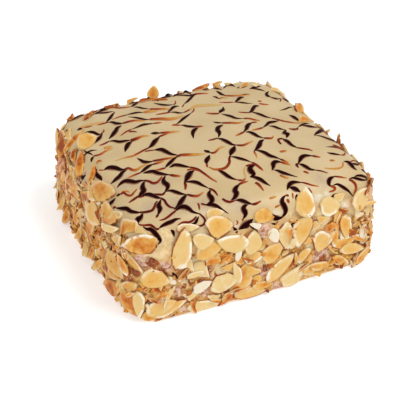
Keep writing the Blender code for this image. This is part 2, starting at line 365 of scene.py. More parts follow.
# %% [markdown]
# ## Small tools for node trees
#
# Materials and Geometry Nodes are both trees of nodes. A recipe holds such a
# tree, and each of its short methods adds a node, links or fills its inputs,
# and returns its output. Many nodes hide several sockets of the same name, one
# for each kind of value, and only the enabled one may be used.

# %% Make a node, find a socket
def enabled(sockets, name=None):
    """The socket in use that has this name, or the first one in use."""
    return next(socket for socket in sockets if socket.enabled and name in (None, socket.name))


def tint(hexes):
    """Linear RGBA of a colour written as six hex digits."""
    values = [int(hexes[i:i + 2], 16) / 255 for i in (0, 2, 4)]
    return (*((v / 12.92 if v <= 0.04045 else ((v + 0.055) / 1.055) ** 2.4) for v in values), 1.0)


class Recipe:
    """A node tree. Colours are hex strings or outputs, numbers are values or outputs."""

    def __init__(self, tree):
        self.tree = tree

    def feed(self, node, inputs):
        """Links or fills a node's inputs."""
        for name, value in inputs.items():
            socket = node.inputs[name] if isinstance(name, int) else enabled(node.inputs, name)
            if isinstance(value, bpy.types.NodeSocket):
                self.tree.links.new(value, socket)
            else:
                socket.default_value = value

    def add(self, kind, inputs, **settings):
        """A new node, for when more than one of its outputs is wanted."""
        node = self.tree.nodes.new(kind)
        for name, value in settings.items():
            setattr(node, name, value)
        self.feed(node, inputs)
        return node

    def out(self, kind, inputs=None, pick=None, **settings):
        """A new node's output, the one named `pick` or the first."""
        return enabled(self.add(kind, inputs or {}, **settings).outputs, pick)

    def calc(self, operation, first, second=0.0, clamp=False):
        inputs = {0: first, 1: second}
        return self.out("ShaderNodeMath", inputs, operation=operation, use_clamp=clamp)

    def plus(self, first, second, clamp=False):
        return self.calc("ADD", first, second, clamp)

    def times(self, first, second, clamp=False):
        return self.calc("MULTIPLY", first, second, clamp)

    def centred(self, cloud, strength):
        """A noise about zero instead of a half, times a strength."""
        return self.times(self.calc("SUBTRACT", cloud, 0.5), strength)

    def place(self):
        return self.out("ShaderNodeTexCoord", pick="Object")

    def noise(self, scale, detail=3.0, roughness=0.55, distortion=0.0):
        """Cloudy noise in the object's own coordinates; `scale` is per metre."""
        inputs = {"Vector": self.place(), "Scale": scale, "Detail": detail}
        inputs.update({"Roughness": roughness, "Distortion": distortion})
        return self.out("ShaderNodeTexNoise", inputs, "Fac")

    def ramp(self, factor, *stops):
        """Colour ramp through (position, hex colour) stops."""
        node = self.add("ShaderNodeValToRGB", {"Fac": factor})
        elements = node.color_ramp.elements
        while len(elements) < len(stops):
            elements.new(0.5)
        for element, (position, hexes) in zip(elements, stops):
            element.position = position
            element.color = tint(hexes)
        return enabled(node.outputs, "Color")

    def span(self, value, start, end, low=0.0, high=1.0):
        """Maps start..end smoothly onto low..high."""
        inputs = {"Value": value, "From Min": start, "From Max": end, "To Min": low, "To Max": high}
        return self.out("ShaderNodeMapRange", inputs, interpolation_type="SMOOTHSTEP")

    def mix(self, factor, first, second):
        first, second = (tint(colour) if isinstance(colour, str) else colour for colour in (first, second))
        inputs = {"Factor": factor, "A": first, "B": second}
        return self.out("ShaderNodeMix", inputs, "Result", data_type="RGBA")

    def attribute(self, name):
        """A number that the mesh carries for each point."""
        return self.out("ShaderNodeAttribute", pick="Fac", attribute_name=name)


class Finish(Recipe):
    """The recipe of a material with a Principled shader."""

    def __init__(self, name):
        self.material = bpy.data.materials.new(name)
        self.material.use_nodes = True
        super().__init__(self.material.node_tree)

    def done(self, colour, roughness, specular, grain=None, soft=(0.0, 0.002), glow=0.0):
        """Feeds the shader and returns the material.

        `grain` is the scale, detail and height of fine bumps, `soft` how much
        light passes into the material and how deep.
        """
        inputs = {
            "Base Color": colour, "Roughness": roughness, "Specular IOR Level": specular,
            "Subsurface Weight": soft[0], "Subsurface Scale": soft[1],
            "Emission Color": WHITE, "Emission Strength": glow,
        }
        if grain:
            bumps = {"Height": self.noise(*grain[:2]), "Distance": grain[2], "Strength": 1.0}
            inputs["Normal"] = self.out("ShaderNodeBump", bumps)
        self.feed(self.tree.nodes["Principled BSDF"], inputs)
        return self.material


print("a pale almond in linear light:", [round(value, 3) for value in tint("efd59b")])

# %% [markdown]
# ## The poured glaze, as a finish
#
# Set fondant is smooth and satin, the colour of pale caramel. It isn't even:
# it dries a little lighter in streaks where the palette knife went, and is
# warmer where it lies thick. A broad, soft noise gives those clouds, and a
# stretched one the streaks. Lower down, among the almonds, it is mixed darker
# and warmer, which is painted shade. Roughness stays above a third, or it
# would look wet.

# %% Glaze finish
# Two colours of each kind of patch. The white ones are partly pale smears and partly painted sheen on the
# glaze, so they fade out softly, as the stains do.
PATCH_COLOURS = {
    "white": ("dccdb2", "e8ddca"), "cream": ("a86640", "e0bca6"), "smear": ("d6b67c", "e2ca9c"),
    "golden": ("c08028", "e6bc66"), "sponge": ("6a280c", "a85418"), "stained": ("bca37f", "c2aa86"),
}
SOFT_PATCHES = ("white", "stained")
SOFT_EDGE, RAGGED_EDGE = (0.20, 1.20), (0.32, 0.62)
MOTTLE = (0.40, 0.58)


def patched(t, colour, *layers):
    """Blends in each kind of patch, mottled, and ragged or soft at its edge."""
    ragged = t.centred(t.noise(420), 0.9)
    mottle = t.noise(520, 3.0, 0.6, 0.6)
    for layer in layers:
        share = t.plus(t.attribute(layer), ragged)
        if layer == "sponge":
            anywhere = t.span(t.noise(120, 2.0, 0.5, 0.6), 0.60, 0.68)
            share = t.calc("MAXIMUM", share, anywhere)
        edge = SOFT_EDGE if layer in SOFT_PATCHES else RAGGED_EDGE
        shade = t.ramp(mottle, *zip(MOTTLE, PATCH_COLOURS[layer]))
        colour = t.mix(t.span(share, *edge), colour, shade)
    return colour


def glaze_finish():
    t = Finish("glaze")
    clouds = t.noise(34, 2.0)
    colour = t.ramp(clouds, (0.30, "c6ab7d"), (0.50, "ceb486"), (0.72, "d3ba8f"))
    along = t.out("ShaderNodeMapping", {"Vector": t.place(), "Scale": (26, 150, 60)})
    streaks = t.out("ShaderNodeTexNoise", {"Vector": along, "Scale": 1.0, "Detail": 4.0}, "Fac")
    colour = t.mix(t.span(streaks, 0.50, 0.74, 0.0, 0.30), colour, "d3b87a")
    colour = t.mix(t.span(t.noise(620, 2.0), 0.66, 0.72, 0.0, 0.22), colour, "b49158")
    # Lower down, on the lower roll, the lip and the runs, the glaze is mixed darker and warmer: painted shade
    # of the wall among the almonds.
    height = t.out("ShaderNodeSeparateXYZ", {"Vector": t.place()}, "Z")
    colour = t.mix(t.span(height, 0.050, 0.042, 0.0, 0.60), colour, "d09a54")
    colour = patched(t, colour, "stained", "white", "cream", "smear", "golden")
    roughness = t.span(clouds, 0.3, 0.7, 0.46, 0.36)
    return t.done(colour, roughness, 0.36, grain=(260, 3.0, 0.00012), soft=(0.12, 0.003))


glaze_material = glaze_finish()
print("finish:", glaze_material.name)

# %% [markdown]
# ## The poured glaze, as a piece
#
# The solid is faceted, and its broad planes would show in the sheen. A loft
# with many more rings follows the same skin, from the underside of the lip,
# round its thick rounded edge, over the shoulder to the middle. A fine
# Geometry Nodes tree then gives it the faint waves of something that was
# poured and has set.

# %% Loft through rings
LIP_STEPS = 6


def ways_round(side_steps, corner_steps):
    """Places of the upright edges, closer together at the corners."""
    ways = []
    start = 0.0
    for side in range(4):
        run = RUNS[side] - ARC
        ways += [start + run * step / side_steps for step in range(side_steps)]
        ways += [start + run + ARC * step / corner_steps for step in range(corner_steps)]
        start += RUNS[side]
    return ways


def join_rings(shell, lower, upper):
    """Faces between two rings of vertices."""
    count = len(lower)
    for i in range(count):
        j = (i + 1) % count
        shell.faces.new((lower[i], lower[j], upper[j], upper[i]))


def loft(name, rings, caps=()):
    """Mesh through rings of points. Each cap is a point, or None for a flat face.

    Without caps, the last ring joins the first.
    """
    shell = bmesh.new()
    loops = [[shell.verts.new(point) for point in ring] for ring in rings]
    for lower, upper in zip(loops, loops[1:] + ([] if caps else loops[:1])):
        join_rings(shell, lower, upper)
    for loop, cap in zip((loops[0], loops[-1]), caps):
        if cap is None:
            shell.faces.new(loop)
            continue
        middle = shell.verts.new(cap)
        for here, there in zip(loop, loop[1:] + loop[:1]):
            shell.faces.new((here, there, middle))
    bmesh.ops.recalc_face_normals(shell, faces=shell.faces[:])
    return finished_mesh(name, shell)


def rings_at(ways, pairs):
    """Rings of the skin, one for each (inset, height)."""
    return [[skin(way, inset, height) for way in ways] for inset, height in pairs]


def top_middle(depth):
    return Vector((0, 0, TOP - depth + crown(0, 0)))


def glaze_mesh():
    """Cap that rolls over the shoulder, with a rounded lower lip."""
    ways = ways_round(side_steps=44, corner_steps=12)
    under = over_the_top(GLAZE_BACK + GLAZE, GLAZE, roll_steps=4, dome_steps=5)
    rings = rings_at(ways, under[::-1])
    for step in range(LIP_STEPS + 1):
        angle = math.pi * step / LIP_STEPS
        share = 0.5 + 0.5 * math.cos(angle)
        rise = 0.5 * GLAZE * (1 - math.sin(angle))
        rings.append([skin(way, GLAZE_BACK + GLAZE * share, lip_height(way) + rise) for way in ways])
    rings += rings_at(ways, over_the_top(GLAZE_BACK, 0.0, roll_steps=10, dome_steps=22))
    return loft("icing_skin", rings, caps=(top_middle(GLAZE), top_middle(0.0)))


print("rings over the top:", len(over_the_top(GLAZE_BACK, 0.0, roll_steps=10, dome_steps=22)))

# %% Geometry Nodes: recipes for trees, and applying one
class Growth(Recipe):
    """The recipe of a Geometry Nodes tree with named inputs, each (name, kind, value)."""

    def __init__(self, name, *sockets):
        super().__init__(bpy.data.node_groups.new(name, "GeometryNodeTree"))
        self.tree.is_modifier = True
        add_socket = self.tree.interface.new_socket
        for label, kind, *value in (("Geometry", "Geometry"), *sockets):
            socket = add_socket(label, in_out="INPUT", socket_type="NodeSocket" + kind)
            if value:
                socket.default_value = value[0]
        add_socket("Geometry", in_out="OUTPUT", socket_type="NodeSocketGeometry")
        self.given = {socket.name: socket for socket in self.tree.nodes.new("NodeGroupInput").outputs}

    def named(self, name, kind="FLOAT"):
        inputs = {"Name": name}
        return self.out("GeometryNodeInputNamedAttribute", inputs, "Attribute", data_type=kind)

    def store(self, geometry, name, value, kind="FLOAT"):
        """Stores a value on every point."""
        inputs = {"Geometry": geometry, "Name": name, "Value": value}
        return self.out("GeometryNodeStoreNamedAttribute", inputs, data_type=kind, domain="POINT")

    def normal(self):
        return self.out("GeometryNodeInputNormal")

    def pushed(self, geometry, direction, distance):
        """Moves every point by a distance along a direction."""
        inputs = {0: direction, "Scale": distance}
        offset = self.out("ShaderNodeVectorMath", inputs, operation="SCALE")
        return self.out("GeometryNodeSetPosition", {"Geometry": geometry, "Offset": offset})

    def vector(self, x, y, z):
        return self.out("ShaderNodeCombineXYZ", {"X": x, "Y": y, "Z": z})

    def spin(self, angles):
        return self.out("FunctionNodeEulerToRotation", {"Euler": angles})

    def random(self, kind, low, high, plus):
        """A random value for each point; `plus` is added to the tree's seed."""
        inputs = {"Min": low, "Max": high, "Seed": self.plus(self.given["Seed"], plus)}
        return self.out("FunctionNodeRandomValue", inputs, data_type=kind)

    def instances(self, points, kind, turned, size):
        """One of the given shapes, turned and stretched, on every point."""
        inputs = {"Collection": self.given["Shapes"], "Separate Children": True, "Reset Children": True}
        shapes = self.out("GeometryNodeCollectionInfo", inputs)
        inputs = {"Points": points, "Instance": shapes, "Pick Instance": True, "Instance Index": kind}
        inputs.update({"Rotation": turned, "Scale": size})
        return self.out("GeometryNodeInstanceOnPoints", inputs)

    def real(self, geometry):
        return self.out("GeometryNodeRealizeInstances", {"Geometry": geometry})

    def smooth(self, geometry):
        return self.out("GeometryNodeSetShadeSmooth", {"Geometry": geometry})

    def done(self, geometry, material):
        """Realizes whatever was instanced, gives it its finish, and returns the tree."""
        inputs = {"Geometry": self.real(geometry), "Material": material}
        self.add("NodeGroupOutput", {"Geometry": self.out("GeometryNodeSetMaterial", inputs)})
        return self.tree


def grow(name, mesh, tree, **values):
    """Runs a tree on a mesh and returns the result as a plain object."""
    made = new_object(name, mesh)
    modifier = made.modifiers.new("grow", "NODES")
    modifier.node_group = tree
    for item in tree.interface.items_tree:
        if item.in_out == "INPUT" and item.name in values:
            modifier[item.identifier] = values[item.name]
    graph = bpy.context.evaluated_depsgraph_get()
    grown = bpy.data.meshes.new_from_object(made.evaluated_get(graph))
    made.modifiers.remove(modifier)
    made.data = grown
    print(name, "has", sum(len(face.vertices) - 2 for face in grown.polygons), "triangles")
    return made


print("tree helpers ready")

# %% A tree that roughens a surface
NOISE_SIZES = ("Broad", "Fine")


def roughen_tree(material):
    """Pushes every point in or out along its normal by two sizes of noise."""
    sockets = [(size + value, "Float", 0.0) for size in NOISE_SIZES for value in (" Height", " Scale")]
    t = Growth("roughen_" + material.name, *sockets)
    pushes = []
    for size in NOISE_SIZES:
        inputs = {"Scale": t.given[size + " Scale"], "Detail": 2.0}
        cloud = t.out("ShaderNodeTexNoise", inputs, "Fac")
        pushes.append(t.centred(cloud, t.given[size + " Height"]))
    moved = t.pushed(t.given["Geometry"], t.normal(), t.plus(*pushes))
    return t.done(t.smooth(moved), material)


def roughened(name, mesh, material, broad, fine):
    """A piece roughened by two noises, each (height, scale)."""
    values = {}
    for size, (height, scale) in zip(NOISE_SIZES, (broad, fine)):
        values.update({size + " Height": height, size + " Scale": scale})
    return grow(name, mesh, roughen_tree(material), **values)


icing_skin = roughened("icing_skin", glaze_mesh(), glaze_material, (0.0003, 60.0), (0.0001, 240.0))

# %% [markdown]
# ## Glaze that ran down the sides
#
# The glaze was poured hot, and ran over the lip in broad tongues that thin out
# between the almonds. One closed band round the cake makes them all: where a
# tongue runs, the band stands a little proud of the wall, and everywhere else
# it lies just under the surface, where it can't be seen.

# %% Tongues of glaze
RUN_TOP = 0.0475
RUN_FOOT = 0.0180
RUN_STEPS = 26
RUN_LONG = 0.0055
RUN_UNEVEN = 0.0048
RUN_THICK = 0.0010
RUN_BURIED = 0.0014
RUN_INNER = 0.0030
RUN_EDGE = 0.0011
RUN_ENDS = LIP + 0.002
RUN_FADE = 0.003


def run_depth(way):
    """How far the glaze ran down at this place, from the lip."""
    return RUN_LONG + RUN_UNEVEN * waves(way, *RUN_WAVES)


def run_inset(way, height):
    """Inset of the band, which is negative where it stands proud of the wall."""
    below = (lip_height(way) - run_depth(way)) - height
    share = 1 / (1 + math.exp(below / RUN_EDGE))
    if height > RUN_ENDS:
        share *= max(0.0, 1 - (height - RUN_ENDS) / RUN_FADE)
    return RUN_BURIED - (RUN_BURIED + RUN_THICK) * share


def glaze_runs_mesh():
    ways = ways_round(side_steps=80, corner_steps=18)
    heights = [RUN_TOP + (RUN_FOOT - RUN_TOP) * step / RUN_STEPS for step in range(RUN_STEPS + 1)]
    outer = [[skin(way, run_inset(way, height), height) for way in ways] for height in heights]
    inner = rings_at(ways, [(RUN_INNER, height) for height in heights])
    return loft("glaze_runs", outer + inner[::-1])


glaze_runs = roughened("glaze_runs", glaze_runs_mesh(), glaze_material, (0.0005, 160.0), (0.0003, 480.0))

# %% [markdown]
# ## Cream and crumb under the almonds
#
# Between the almonds shows what holds them: smeared glaze, a pinkish nut
# cream, and here and there a piece of the brown sponge. They aren't separate
# layers at the side of an uncut cake, but patches, so one lumpy surface
# carries them all. Its colour comes from noises of about the patches' size,
# and is darker and browner than these alone: partly their own colour, partly
# painted shade for the gaps between the almonds, where it shows.

# %% Finish of the coat, darkened with painted shade of the gaps
def coat_and_gap_shade_finish():
    t = Finish("almond_coat")
    patches = t.noise(85, 3.0, 0.6, 0.4)
    # The ramp is darker and browner than the cream and sponge alone: partly their own colour, partly painted
    # shade for the gaps between the almonds, where this coat shows.
    stops = (0.30, "964620"), (0.40, "bc783a"), (0.50, "cc9648"), (0.58, "d8ac5e"), (0.68, "b4601a")
    colour = patched(t, t.ramp(patches, *stops), "cream", "white", "smear", "golden", "sponge")
    # The dark brown smears are partly painted shade in the gaps; the pale ones are cream.
    smears_and_gap_shade = t.noise(300, 4.0, 0.6, 1.4)
    colour = t.mix(t.span(smears_and_gap_shade, 0.57, 0.67, 0.0, 0.80), colour, "923c12")
    colour = t.mix(t.span(smears_and_gap_shade, 0.46, 0.36, 0.0, 0.55), colour, "ead09a")
    return t.done(colour, 0.55, 0.35, grain=(1100, 4.0, 0.0007), soft=(0.10, 0.002))


coat_and_gap_shade_material = coat_and_gap_shade_finish()
print("finish:", coat_and_gap_shade_material.name)

# %% The cake's own surface
WALL_STEPS = 46


def cake_mesh():
    """Flared wall, a ledge under the glaze's lip, and the top under the glaze."""
    ways = ways_round(side_steps=80, corner_steps=20)
    drawn_in = GLAZE_BACK + GLAZE + GAP
    rings = [[skin(way, FOOT, 0.0) for way in ways]]
    for step in range(WALL_STEPS):
        tops = [(way, lip_height(way) - GAP) for way in ways]
        rings.append([skin(way, 0.0, FOOT + (top - FOOT) * step / (WALL_STEPS - 1)) for way, top in tops])
    rings.append([skin(way, drawn_in, lip_height(way) - GAP) for way in ways])
    rings += rings_at(ways, over_the_top(drawn_in, GLAZE + GAP, roll_steps=3, dome_steps=3))
    return loft("cake_skin", rings, caps=(None, top_middle(GLAZE + GAP)))


cake_skin = roughened("cake_skin", cake_mesh(), coat_and_gap_shade_material, (0.0016, 190.0), (0.0007, 900.0))
for vertex in cake_skin.data.vertices:
    vertex.co.z = max(vertex.co.z, 0.0)

bare_skin = surface_of(cake_mesh(), glaze_mesh())
coat = surface_of(cake_mesh(), glaze_mesh(), proud_part(glaze_runs_mesh(), bare_skin))
print("the skin behind the picture's middle:", [round(v, 3) for v in seen(coat, (208, 208))[0]])

# %% Patches that show between the almonds, and painted sheen on the glaze
# Middle and radius of each patch, in pixels of the picture.
PATCHES = {
    "cream": (
        (143, 261, 8), (166, 267, 6), (263, 232, 7), (263, 272, 7), (205, 292, 5), (184, 309, 4),
        (320, 258, 12), (104, 197, 4), (264, 228, 7), (333, 224, 5), (348, 216, 5), (343, 228, 4),
        (110, 226, 4), (84, 173, 4), (178, 291, 6), (215, 276, 4), (276, 286, 5), (291, 257, 4),
        (80, 180, 4),
    ),
    "sponge": (
        (155, 260, 7), (165, 270, 6), (184, 286, 3), (287, 277, 5), (304, 257, 4), (323, 258, 4),
        (131, 280, 4), (136, 272, 5), (107, 240, 4), (112, 246, 4), (117, 252, 4), (332, 223, 3),
        (125, 283, 4), (84, 165, 3), (218, 296, 3), (117, 250, 4), (150, 262, 4), (168, 265, 3),
    ),
    "smear": (
        (160, 250, 9), (165, 237, 8), (322, 220, 10), (222, 270, 10), (351, 212, 6), (82, 183, 4),
        (230, 282, 6), (143, 231, 6), (318, 222, 9), (310, 232, 7), (288, 214, 4), (150, 248, 8),
        (88, 205, 7), (90, 192, 6), (81, 190, 5), (196, 262, 6), (262, 262, 5), (300, 260, 5),
        (310, 246, 5), (186, 282, 5), (156, 286, 4), (122, 236, 4),
    ),
    "golden": (
        (345, 258, 10), (322, 269, 9), (340, 268, 8), (192, 294, 5), (152, 240, 6), (362, 258, 6),
        (312, 279, 6), (112, 232, 4), (118, 244, 4), (101, 205, 5), (88, 190, 4),
    ),
    # Partly pale smears, partly painted sheen on the glaze near its front edge and round its dent.
    "white": (
        (163, 234, 6), (206, 239, 5), (213, 237, 4), (277, 213, 4), (286, 205, 3), (345, 206, 6),
        (354, 197, 3), (318, 198, 5), (327, 194, 4), (297, 236, 4), (236, 226, 3), (133, 240, 3),
    ),
    "stained": (
        (130, 182, 16), (156, 184, 16), (178, 206, 17), (207, 204, 17), (237, 203, 13), (322, 180, 12),
        (150, 207, 12),
    ),
}
COVERED_PATCHES = ("golden", "stained")
PATCH_PEAK, PATCH_FALL = 1.25, 0.75


def spots(kinds, share=1.0):
    """Place and radius, times a share, of the patches of some kinds."""
    return [(seen(coat, (x, y))[0], share * r * PIXEL) for kind in kinds for x, y, r in PATCHES[kind]]


def add_layer(mesh, name, values, kind="FLOAT"):
    """Stores a number or a vector for each point of a mesh."""
    for item, value in zip(mesh.attributes.new(name, kind, "POINT").data, values):
        setattr(item, "vector" if kind == "FLOAT_VECTOR" else "value", value)


def patch_share(place, patches):
    """How far within the nearest patch a place lies: over 1 at its heart, 0 well past its edge."""
    depths = (PATCH_PEAK - PATCH_FALL * (place - spot).length / reach for spot, reach in patches)
    return max(0.0, *depths)


for kind in sorted(PATCHES):
    patches = spots([kind])
    for piece in (cake_skin, icing_skin, glaze_runs):
        shares = [patch_share(vertex.co, patches) for vertex in piece.data.vertices]
        add_layer(piece.data, kind, shares)
print("patches:", sum(len(patches) for patches in PATCHES.values()))

# %% [markdown]
# ## Almond slices, as a finish
#
# A sliced almond is cream-coloured and slightly waxy. Toasting browns its
# middle first and leaves a pale rim, where the slice is thinnest. The cut edge
# is nearly white, unless the brown skin still clings to it. Each slice carries
# numbers for this: how far in from its rim a point is, whether a face is the
# cut edge, and how toasted, pale or skinned the whole slice is. The pale rim
# shows on one side of a slice only, with the skin on the other: its whiteness
# is partly the rim's own and partly a painted highlight, as on an edge that
# faces the lamp.

# %% Almond finish
def almond_finish(name, faces):
    """Finish of almond pieces; `faces` are five colours from blanched to toasted."""
    t = Finish(name)
    rim, toast = t.attribute("rim"), t.attribute("toast")
    share = t.plus(t.plus(t.span(rim, 1.0, 0.2, 0.0, 0.35), 0.70), t.centred(t.noise(130, 2.0), 1.5))
    mottle = t.centred(t.noise(420), t.plus(t.times(toast, 0.5), 0.12))
    heat = t.plus(t.times(toast, share), mottle, clamp=True)
    colour = t.ramp(heat, *zip((0.0, 0.10, 0.42, 0.70, 0.92), faces))
    # The pale rim is whitened on one side of a slice only, and the brown skin kept to the other: the
    # whiteness is partly the rim's own, partly a painted highlight.
    side = t.times(t.attribute("flank"), t.attribute("white_side"))
    pale = t.times(t.span(rim, 0.62, 0.90), t.attribute("pale"))
    pale = t.times(pale, t.span(side, -0.45, 0.25))
    pale = t.times(pale, t.span(t.noise(150, 2.0), 0.38, 0.52))
    colour = t.mix(pale, colour, "f6ecd8")
    fibre = t.span(t.noise(1400, 2.0), 0.40, 0.65, 0.0, 0.06)
    colour = t.mix(fibre, colour, "ecd9a4")
    brown = t.times(t.attribute("skin"), t.span(t.noise(260, 2.0), 0.34, 0.50), clamp=True)
    brown = t.times(brown, t.span(side, 0.30, -0.20))
    colour = t.mix(t.attribute("edge"), colour, t.mix(brown, "e4c892", "823408"))
    seam = t.times(brown, t.span(rim, 0.84, 0.96))
    colour = t.mix(seam, colour, "93420f")
    return t.done(colour, 0.45, 0.15, grain=(850, 3.0, 0.00018), soft=(0.10, 0.002))


almond_material = almond_finish("sliced_almond", ("e6dac2", "dfc184", "dda852", "ca741c", "964008"))
print("finish:", almond_material.name)

# %% [markdown]
# ## Almond slices, as shapes
#
# A whole slice is a pointed oval. Most have broken: cutting the oval with one
# to three straight lines gives halves, blunt ends and splinters. Every shape
# is made one unit long, wide and thick, and stretched to its size where it is
# placed. It has three rings, so that the rim can be coloured and the slice can
# curl, and a few dozen faces, because hundreds are needed.

# %% Outlines, whole and broken
OVAL_POINTS = 96
OUTLINE_POINTS = 16
POINTED = 0.55
TAPER = 0.24


def whole_outline():
    """A pointed oval, one long and one wide, with its tip towards +X."""
    points = []
    for i in range(OVAL_POINTS):
        angle = 2 * math.pi * i / OVAL_POINTS
        along, across = math.cos(angle), math.sin(angle)
        sharp = math.copysign(abs(across) ** (1 + POINTED * max(0.0, along)), across)
        points.append(Vector((along / 2, sharp * (1 - TAPER * along) / 2)))
    return points


def cut_outline(points, turn, distance):
    """Keeps what lies within `distance` of the middle along a direction."""
    across = Vector((math.cos(turn), math.sin(turn)))
    kept = []
    for here, there in zip(points, points[1:] + points[:1]):
        depth, next_depth = distance - here.dot(across), distance - there.dot(across)
        if depth >= 0:
            kept.append(here)
        if depth * next_depth < 0:
            kept.append(here.lerp(there, depth / (depth - next_depth)))
    return kept


def even_outline(points, count):
    """The same outline with `count` points evenly along it."""
    lengths = [(b - a).length for a, b in zip(points, points[1:] + points[:1])]
    total = sum(lengths)
    result = []
    index, walked = 0, 0.0
    for i in range(count):
        goal = total * i / count
        while walked + lengths[index] < goal:
            walked += lengths[index]
            index += 1
        here, there = points[index], points[(index + 1) % len(points)]
        result.append(here.lerp(there, (goal - walked) / max(lengths[index], 1e-9)))
    return result


def fitted_outline(points):
    """The outline stretched to fill one by one, and how large it was."""
    low, high = (Vector((pick(p.x for p in points), pick(p.y for p in points))) for pick in (min, max))
    size = high - low
    middle = (low + high) / 2
    return [Vector(((p.x - middle.x) / size.x, (p.y - middle.y) / size.y)) for p in points], size


print("a whole slice starts from", len(whole_outline()), "points")

# %% From an outline to a thin curled slice
RIM_RINGS = (1.0, 0.86, 0.50)
RAGGED = 0.032
CURL_MIDDLE = 0.35
BENDS, TWISTS = (-0.9, 0.7), (-0.8, 0.8)
EDGE_TOP, UNDERSIDE = 0.72, 0.97  # the cut edge leans in a little
ROUNDING = 0.85


def slice_shape(name, outline, bend, twist, draws):
    """Closed slice with `rim` and `edge` attributes; heights are in thicknesses."""
    outline = [p + Vector([draws.uniform(-RAGGED, RAGGED) for _ in "xy"]) for p in outline]
    middle = sum(outline, Vector((0, 0))) / len(outline)

    def lifted(point, side):
        curl = bend * (4 * point.x * point.x - CURL_MIDDLE) + twist * 4 * point.x * point.y
        return Vector((point.x, point.y, curl + 0.5 * side))

    shape = bmesh.new()
    rim = shape.verts.layers.float.new("rim")
    flank = shape.verts.layers.float.new("flank")
    edge = shape.faces.layers.float.new("edge")

    def ring(scale, side, mark):
        made = []
        for point in outline:
            place = middle + (point - middle) * scale
            vertex = shape.verts.new(lifted(place, side))
            vertex[rim] = mark
            vertex[flank] = 2 * place.y
            made.append(vertex)
        return made

    count = len(outline)
    upper = [ring(scale, 1.0 if scale < 1 else EDGE_TOP, scale) for scale in RIM_RINGS]
    lower = ring(UNDERSIDE, -1.0, 1.0)
    centre = shape.verts.new(lifted(middle, 1.0))
    below = shape.verts.new(lifted(middle, -1.0))
    for i in range(count):
        j = (i + 1) % count
        for outer, inner in zip(upper, upper[1:]):
            shape.faces.new((outer[i], outer[j], inner[j], inner[i]))
        shape.faces.new((upper[-1][i], upper[-1][j], centre))
        shape.faces.new((lower[j], lower[i], below))
        shape.faces.new((lower[i], lower[j], upper[0][j], upper[0][i]))[edge] = 1.0
    for face in shape.faces:
        face.smooth = face[edge] == 0.0
    return bpy.data.objects.new(name, finished_mesh(name, shape))


# Cuts of each shape: (direction in degrees, distance from the middle).
SLICE_CUTS = (
    (), (), ((205, 0.40),), ((20, 0.24),), ((0, 0.10), (150, 0.30)), ((75, 0.20), (200, 0.34)),
    ((-60, 0.16), (10, 0.22), (170, 0.30)), ((88, 0.12),), ((120, 0.18), (-20, 0.20)),
    ((0, -0.05), (60, 0.28)), ((40, 0.10), (-70, 0.20), (180, 0.32)), ((-92, 0.05), (15, 0.36)),
)
WHOLE, ROUNDED, BLUNT, NO_TIP, HALF_LEAF, SPLIT, BLOCK, LONG_HALF, WEDGE, STUB, CHIP, STRAW = range(12)


def slice_shapes(prefix, seed):
    """A shape for each kind of slice, in a collection, and what share of a whole each is."""
    draws = random.Random(seed)
    shapes = bpy.data.collections.new(prefix)
    shares = []
    for kind, cuts in enumerate(SLICE_CUTS):
        outline = whole_outline()
        if kind == ROUNDED:
            outline = [Vector((p.x, math.copysign(abs(p.y * 2) ** ROUNDING / 2, p.y))) for p in outline]
        for turn, distance in cuts:
            outline = cut_outline(outline, math.radians(turn), distance)
        outline, share = fitted_outline(outline)
        shares.append(share)
        bend, twist = draws.uniform(*BENDS), draws.uniform(*TWISTS)
        outline = even_outline(outline, OUTLINE_POINTS)
        shapes.objects.link(slice_shape(f"{prefix}_{kind:02d}", outline, bend, twist, draws))
    return shapes, shares


almond_shapes, slice_shares = slice_shapes("almond_shape", 11)
